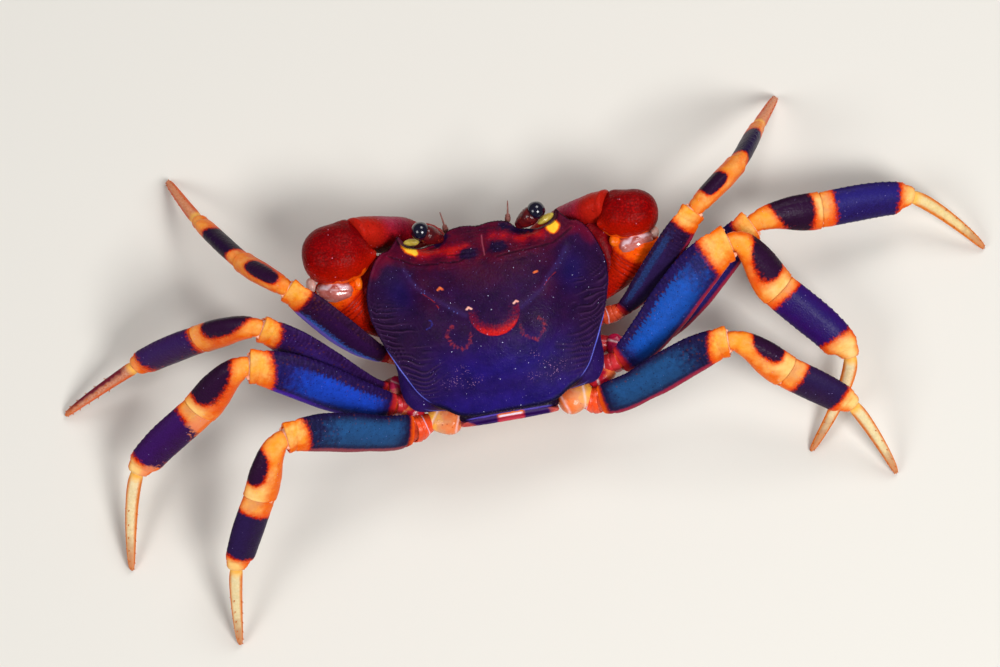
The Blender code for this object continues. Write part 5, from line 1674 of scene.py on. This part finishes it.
def chela_grid(joint, along, profile, scale, facing, mesh):
    table = np.array(profile)
    distance = np.linspace(table[0, 0], table[-1, 0], mesh[0])
    upper, lower, depth = along_table(distance, table[:, 0], table[:, 1:]).T
    tall = unit(UP - along * UP.dot(along))
    lean = unit(facing + (along - facing) * smooth(0, PALM_TURN, distance / table[-1, 0])[:, None])

    def slid(direction, reach):
        offset = direction * (reach * scale / 2)[:, None]
        return offset - along * ((offset * lean).sum(1) / (lean @ along))[:, None]

    turn, cos, sin = turns(mesh[1])
    centre = joint + along * (distance * scale)[:, None] + slid(tall, upper + lower)
    points = (centre[:, None] + slid(tall, upper - lower)[:, None] * cos
              + slid(np.cross(along, tall), depth)[:, None] * sin)
    return points, distance[:, None], np.where(turn > math.pi, turn - math.tau, turn)[None]


def closed_grid(points, distance, first_depth=0.35, fullness=(0.05, 0.45, 0.75, 0.93)):
    """Rounds off both ends of a grid of rings."""
    start, end = points[0], points[-1]
    first, last = start.mean(0), end.mean(0)
    back = unit(first - points[3].mean(0)) * first_depth
    before = [first + (start - first) * share + back * depth
              for share, depth in zip(fullness, (1, 0.95, 0.7, 0.3))]
    after = [last + (end - last) * share for share in (0.6, 0.1)]
    rows = np.concatenate([before, points, after])
    spread = np.pad(distance, ((4, 2), (0, 0)), "edge")
    body = np.concatenate([np.zeros(4), np.ones(len(points)), np.zeros(2)])[:, None]
    return rows, spread, body


def build_chela(side, claw, joint, along, facing):
    start = joint + facing * GAP / 2
    for name, profile, begin, turned_to, cut_turn, mesh, ends in (
            ("palm", PALM_PROFILE, start, facing, 0.0, (200, 84), (1.1, (0.1, 0.8, 0.95, 1.0))),
            ("finger", FINGER_PROFILE, start + along * GAP, along, math.pi, (110, 60), ())):
        points, distance, turn = chela_grid(begin, along, profile, claw["scale"], turned_to, mesh)
        points, distance, body = closed_grid(points, distance, *ends)
        teeth = np.abs(np.sin(distance * math.pi / 0.95)) ** 0.7
        teeth = teeth * (0.7 + 0.3 * np.sin(distance * 2.1))
        edge = bell(np.abs(np.abs(turn) - cut_turn), 0.4)
        edge = edge * smooth(10.2, 10.9, distance) * smooth(16.6, 15.8, distance)
        hand = smooth(0.4, 1.5, distance) * smooth(9.4, 8.6, distance)
        groove = bell(np.abs(turn) - 1.2, 0.12) * smooth(10.2, 11.5, distance)
        rise = 0.05 * granules(points, 0.36, 91) * (0.4 + 0.6 * hand) + 0.32 * teeth * edge
        rise = rise + 0.05 * (cloud(points, 1.2, 92) - 0.5) - 0.07 * groove
        inner = bell(turn + 0.7 * handed(side), 0.7)
        # wrinkle is painted shade in the groove of the palm and finger.
        values = claw_values(
            wrinkle=0.6 * groove, warm=smooth(3.6, 0.6, distance) * 0.8,
            blush=smooth(1.6, 3.0, distance) * smooth(7.5, 5.0, distance) * inner,
            pale=np.clip(edge * 0.9 + 0.6 * smooth(14.5, 16.5, distance), 0, 1))
        new_piece(f"claw_{side}_{name}_shell", tube(raised(points, rise * body), values), name,
                  "claw", f"claw_{side}_{name}")


def build_elbow_skin(side, claw):
    """The glossy bulge of soft skin over the elbow, with a pearly knob at each end."""
    ball = solid_round((1, 1, 1), rows=60, count=90)
    x, y, z = ball[..., 0], ball[..., 1], ball[..., 2]
    # fold marks where the white painted highlights go: along the ridge and in a spot in the middle.
    ridge = y + 0.3 + 0.22 * np.cos(x * 4.2) + 0.12 * np.cos(x * 9)
    fold = smooth(0.34, 0.05, np.abs(ridge)) * smooth(0.95, 0.6, np.abs(x))
    fold = fold + 0.5 * bell(y - 0.1, 0.1) * bell(x, 0.3)
    swell = 1 + 0.03 * np.cos(x * 7) * (z > 0) - 0.04 * bell(ridge - 0.3, 0.1)
    centre, size, tilt = claw["sac"]
    points = spun(ball * swell[..., None] * np.array(size), tilt) + np.array(centre)
    new_piece(f"claw_{side}_elbow_skin", tube(points, {"fold": np.clip(fold, 0, 1)}),
              "elbow_skin", "claw")
    for name, finish in (("outer", "knob"), ("inner", "orange_knob")):
        place, radii = claw[f"{name}_knob"]
        points = solid_round(radii, place, 30, 40, 0.9)
        points = raised(points, texture(points, (0.03, 0.4, 87)))
        new_piece(f"claw_{side}_{name}_knob", tube(points, {}), finish, "claw")


def build_inner_fold(side):
    """Inner lobe of the arm that closes the space between the shell's corner, wrist and palm."""
    places = np.linspace(0, 1, 60)
    table = np.array(FOLD_LINES[side])
    stations = along_table(places, np.linspace(0, 1, len(table)), table)
    centre, (wide, deep) = stations[:, :3], columns(stations[:, 3], stations[:, 4])
    ahead = unit(np.gradient(centre, axis=0))
    across = unit(np.cross(ahead, UP))
    _, cos, sin = turns(56)
    points = (centre[:, None] + across[:, None] * wide / 2 * cos
              + np.cross(across, ahead)[:, None] * deep / 2 * sin)
    points, _, body = closed_grid(points, places[:, None], 0.5)
    points = raised(points, texture(points, (0.035, 0.34, 141), (0.08, 1.2, 142)) * body)
    # deep=0.55 darkens the lobe as painted shade between the shell, wrist and palm.
    new_piece(f"claw_{side}_inner_lobe", tube(points, claw_values(deep=0.55)), "palm", "claw")


def build_claw(side):
    claw = CLAWS[side]
    elbow, wrist, palm_joint = (np.array(claw[name]) for name in ("elbow", "wrist", "palm"))
    elbow_facing = unit(mirrored(ELBOW_FACING, side))
    palm_along = turned(side, claw["swing"], -claw["fall"]) * np.array((-1, 1, 1))
    wrist_facing = unit(palm_along + unit(palm_joint - wrist))
    build_arm(side, claw, elbow_facing)
    build_wrist(side, claw, elbow, elbow_facing, palm_joint, wrist_facing)
    build_chela(side, claw, palm_joint, palm_along, wrist_facing)
    build_elbow_skin(side, claw)
    build_inner_fold(side)


# Head parts and pleon.

def straight_form(start, end, profile, width, rows, bow=0.0):
    along = unit(end - start)
    wide = unit(UP - along * UP.dot(along))
    places = np.linspace(0, 1, rows)
    centre = start + (end - start) * places[:, None] + UP * (bow * places * (1 - places))[:, None]
    return sized_form(places, centre, np.repeat(along[None], rows, 0),
                      np.repeat(wide[None], rows, 0), profile, (width, width),
                      np.linalg.norm(end - start))


def build_eye(side):
    def relief(points, place, turn, length):
        return texture(points, (0.03, 0.3, 101)), {}

    root, top, ball = (mirrored(point, side) + EYE_SHIFTS[side]
                       for point in (EYE_ROOT, EYE_TOP, CORNEA_CENTRE))
    stalk = straight_form(root, top, EYE_PROFILE, STALK_WIDTH, 50)
    new_piece(f"eyestalk_{side}_shell", limb_skin(stalk, 48, 0.0, relief, after=STALK_END),
              "stalk", "eyestalk", f"eyestalk_{side}")
    along = unit(top - root)
    points = solid_round((CORNEA_RADIUS,) * 3, ball, 60, 72)
    points = plane_pressed(points, top + along * 0.12, -along)
    new_piece(f"cornea_{side}_dome", tube(points, {}), "cornea", "cornea", f"cornea_{side}")
    centre, radii, tilt = ORBIT_PADS[side]
    pad = spun(solid_round(radii, rows=30), tilt) + np.array(centre)
    new_piece(f"orbit_pad_{side}", tube(raised(pad, texture(pad, (0.05, 0.4, 102))), {}),
              "pad", "eyestalk")


def build_feeler(side):
    def relief(points, place, turn, length):
        return 0.02 * beads(place * length, 0.16) * smooth(0.32, 0.36, place), {}

    form = straight_form(mirrored(FEELER_ROOT, side), mirrored(FEELER_TIP, side), FEELER_PROFILE,
                         FEELER_WIDTH, 90, 1.0)
    new_piece(f"antenna_{side}_feeler", limb_skin(form, 20, 0.0, relief, after=TIP_END),
              "feeler", "antenna", f"antenna_{side}")


def build_mouth_cover(side):
    top, bottom = mirrored(MOUTH_TOP, side), mirrored(MOUTH_BOTTOM, side)
    places = np.linspace(0, 1, 70)
    wide, = columns(along_table(places, *np.array(MOUTH_PROFILE).T) * MOUTH_SIZE[0] / 2)
    turn, cos, sin = turns(64)
    points = ((top + (bottom - top) * places[:, None])[:, None] + ACROSS * powered(cos, 0.8) * wide
              + np.cross(unit(bottom - top), ACROSS) * sin * MOUTH_SIZE[1] / 2)
    points, place, body = closed_grid(points, places[:, None], 0.12)
    outer = np.abs(np.cos(turn)[None] * handed(side) - 0.62)
    groove = bell(place - 0.36, 0.018) + 0.8 * bell(outer, 0.06) * smooth(0.36, 0.4, place)
    points = raised(points, (texture(points, (0.035, 0.34, 111)) - 0.12 * groove) * body)
    new_piece(f"mouth_cover_{side}_shell", tube(points, {"groove": groove}), "mouth", "mouth",
              f"mouth_cover_{side}")


def build_pleon():
    line = np.array(PLEON_LINE)
    at = np.linspace(0, len(line) - 1, 190)
    y, z, half, thick = along_table(at, np.arange(len(line)), line).T
    centre = np.stack([0 * y, y, z], axis=1)
    through = np.cross(unit(np.gradient(centre, axis=0)), ACROSS)
    _, cos, sin = turns(110)
    half, thick, bar = columns(half, thick, smooth(2.5, 0.5, at))
    points = (centre[:, None] + ACROSS * half * powered(cos, 0.9)
              + through[:, None] * thick / 2 * powered(sin, 0.4) * (1 - 0.45 * bar * cos ** 2)
              + np.array((0, 0.22, -0.35)) * bar * cos ** 2)
    tuck = smooth(10.9, 9.6, points[..., 2]) * smooth(6.0, 8.5, points[..., 2])
    points = points - np.array((0, 0.55, 0)) * tuck[..., None]
    points, place, body = closed_grid(points, (at / at[-1])[:, None], 0.1)
    groove = np.max([bell(place - suture, 0.008) for suture in PLEON_SUTURES], axis=0)
    swell = sum(0.1 * bell(place - middle, 0.05) for middle in PLEON_SWELLS)
    points = raised(points, (swell - 0.16 * groove + texture(points, (0.02, 0.4, 121))) * body)
    values = {"along": place, "across": points[..., 0] / 6, "groove": groove,
              "back": smooth(10.45, 11.5, points[..., 1])}
    new_piece("pleon_shell", tube(points, values), "pleon", "pleon", "pleon")


def build_rear_skin():
    """Soft skin between the shell's rear wall and the first ring of the pleon, coloured nearly
    black as painted shade.
    """
    ball = solid_round((1, 1, 1), rows=40, count=120, power=0.7)
    points = ball * np.array((6.3, 1.15, 1.3)) + np.array((0, 10.0, 10.0))
    crease = bell(ball[..., 2] - 0.35, 0.12)
    points = raised(points, texture(points, (0.04, 0.4, 151)) - 0.1 * crease)
    x, y, z = (points[..., k] for k in range(3))
    line = bell(y - 10.62, 0.09) * smooth(5.6, 4.6, np.abs(x)) * smooth(9.8, 10.4, z)
    new_piece("pleon_hinge_skin", tube(points, {"line": line}), "hinge", "pleon")


# Floor, lights and camera.

def build_floor():
    mesh = bpy.data.meshes.new("floor")
    corners = [(x, y, FLOOR_Z) for x, y in ((-1, -1), (1, -1), (1, 1), (-1, 1))]
    mesh.from_pydata([(x * FLOOR_REACH, y * FLOOR_REACH, z) for x, y, z in corners], [],
                     [(0, 1, 2, 3)])
    paper = bpy.data.materials.new("pale floor")
    paper.use_nodes = True
    surface = paper.node_tree.nodes["Principled BSDF"].inputs
    surface["Base Color"].default_value = srgb(222, 218, 210)
    surface["Roughness"].default_value = 0.9
    surface["Specular IOR Level"].default_value = 0.1
    mesh.materials.append(paper)
    placed("floor", mesh)


def aimed(name, data, target, azimuth, elevation, distance):
    """An object that looks at the target from those angles."""
    made = placed(name, data)
    back = from_view(azimuth, elevation)
    made.location = target + back * distance
    made.rotation_mode = "QUATERNION"
    made.rotation_quaternion = Vector(-back).to_track_quat("-Z", "Y")
    return made


def build_lights():
    for name, azimuth, elevation, size, power in LIGHTS:
        data = bpy.data.lights.new(name, "AREA")
        data.size, data.energy = size, power
        aimed(name, data, SHIFT + UP * 8 * MM, azimuth, elevation, LIGHT_DISTANCE)
    world = bpy.data.worlds.new("soft room")
    bpy.context.scene.world = world
    world.use_nodes = True
    background = world.node_tree.nodes["Background"].inputs
    background["Color"].default_value = (0.9, 0.94, 1.0, 1)
    background["Strength"].default_value = 0.16


def build_camera():
    data = bpy.data.cameras.new("camera")
    data.lens, data.sensor_width = VIEW_LENS, 36.0
    data.clip_start, data.clip_end = 0.01, 10.0
    target = np.array(VIEW_TARGET) * MM + SHIFT
    bpy.context.scene.camera = aimed("camera", data, target, VIEW_AZIMUTH, VIEW_ELEVATION,
                                     VIEW_DISTANCE * MM)


build_shell()
build_thorax()
build_pleon()
build_rear_skin()
for crab_side in SIDES:
    build_mouth_cover(crab_side)
    build_eye(crab_side)
    build_feeler(crab_side)
    build_claw(crab_side)
    for leg_number in LEG_ROOTS:
        build_leg(crab_side, leg_number)
build_floor()
build_lights()
build_camera()
bpy.context.scene.view_settings.view_transform = "Standard"
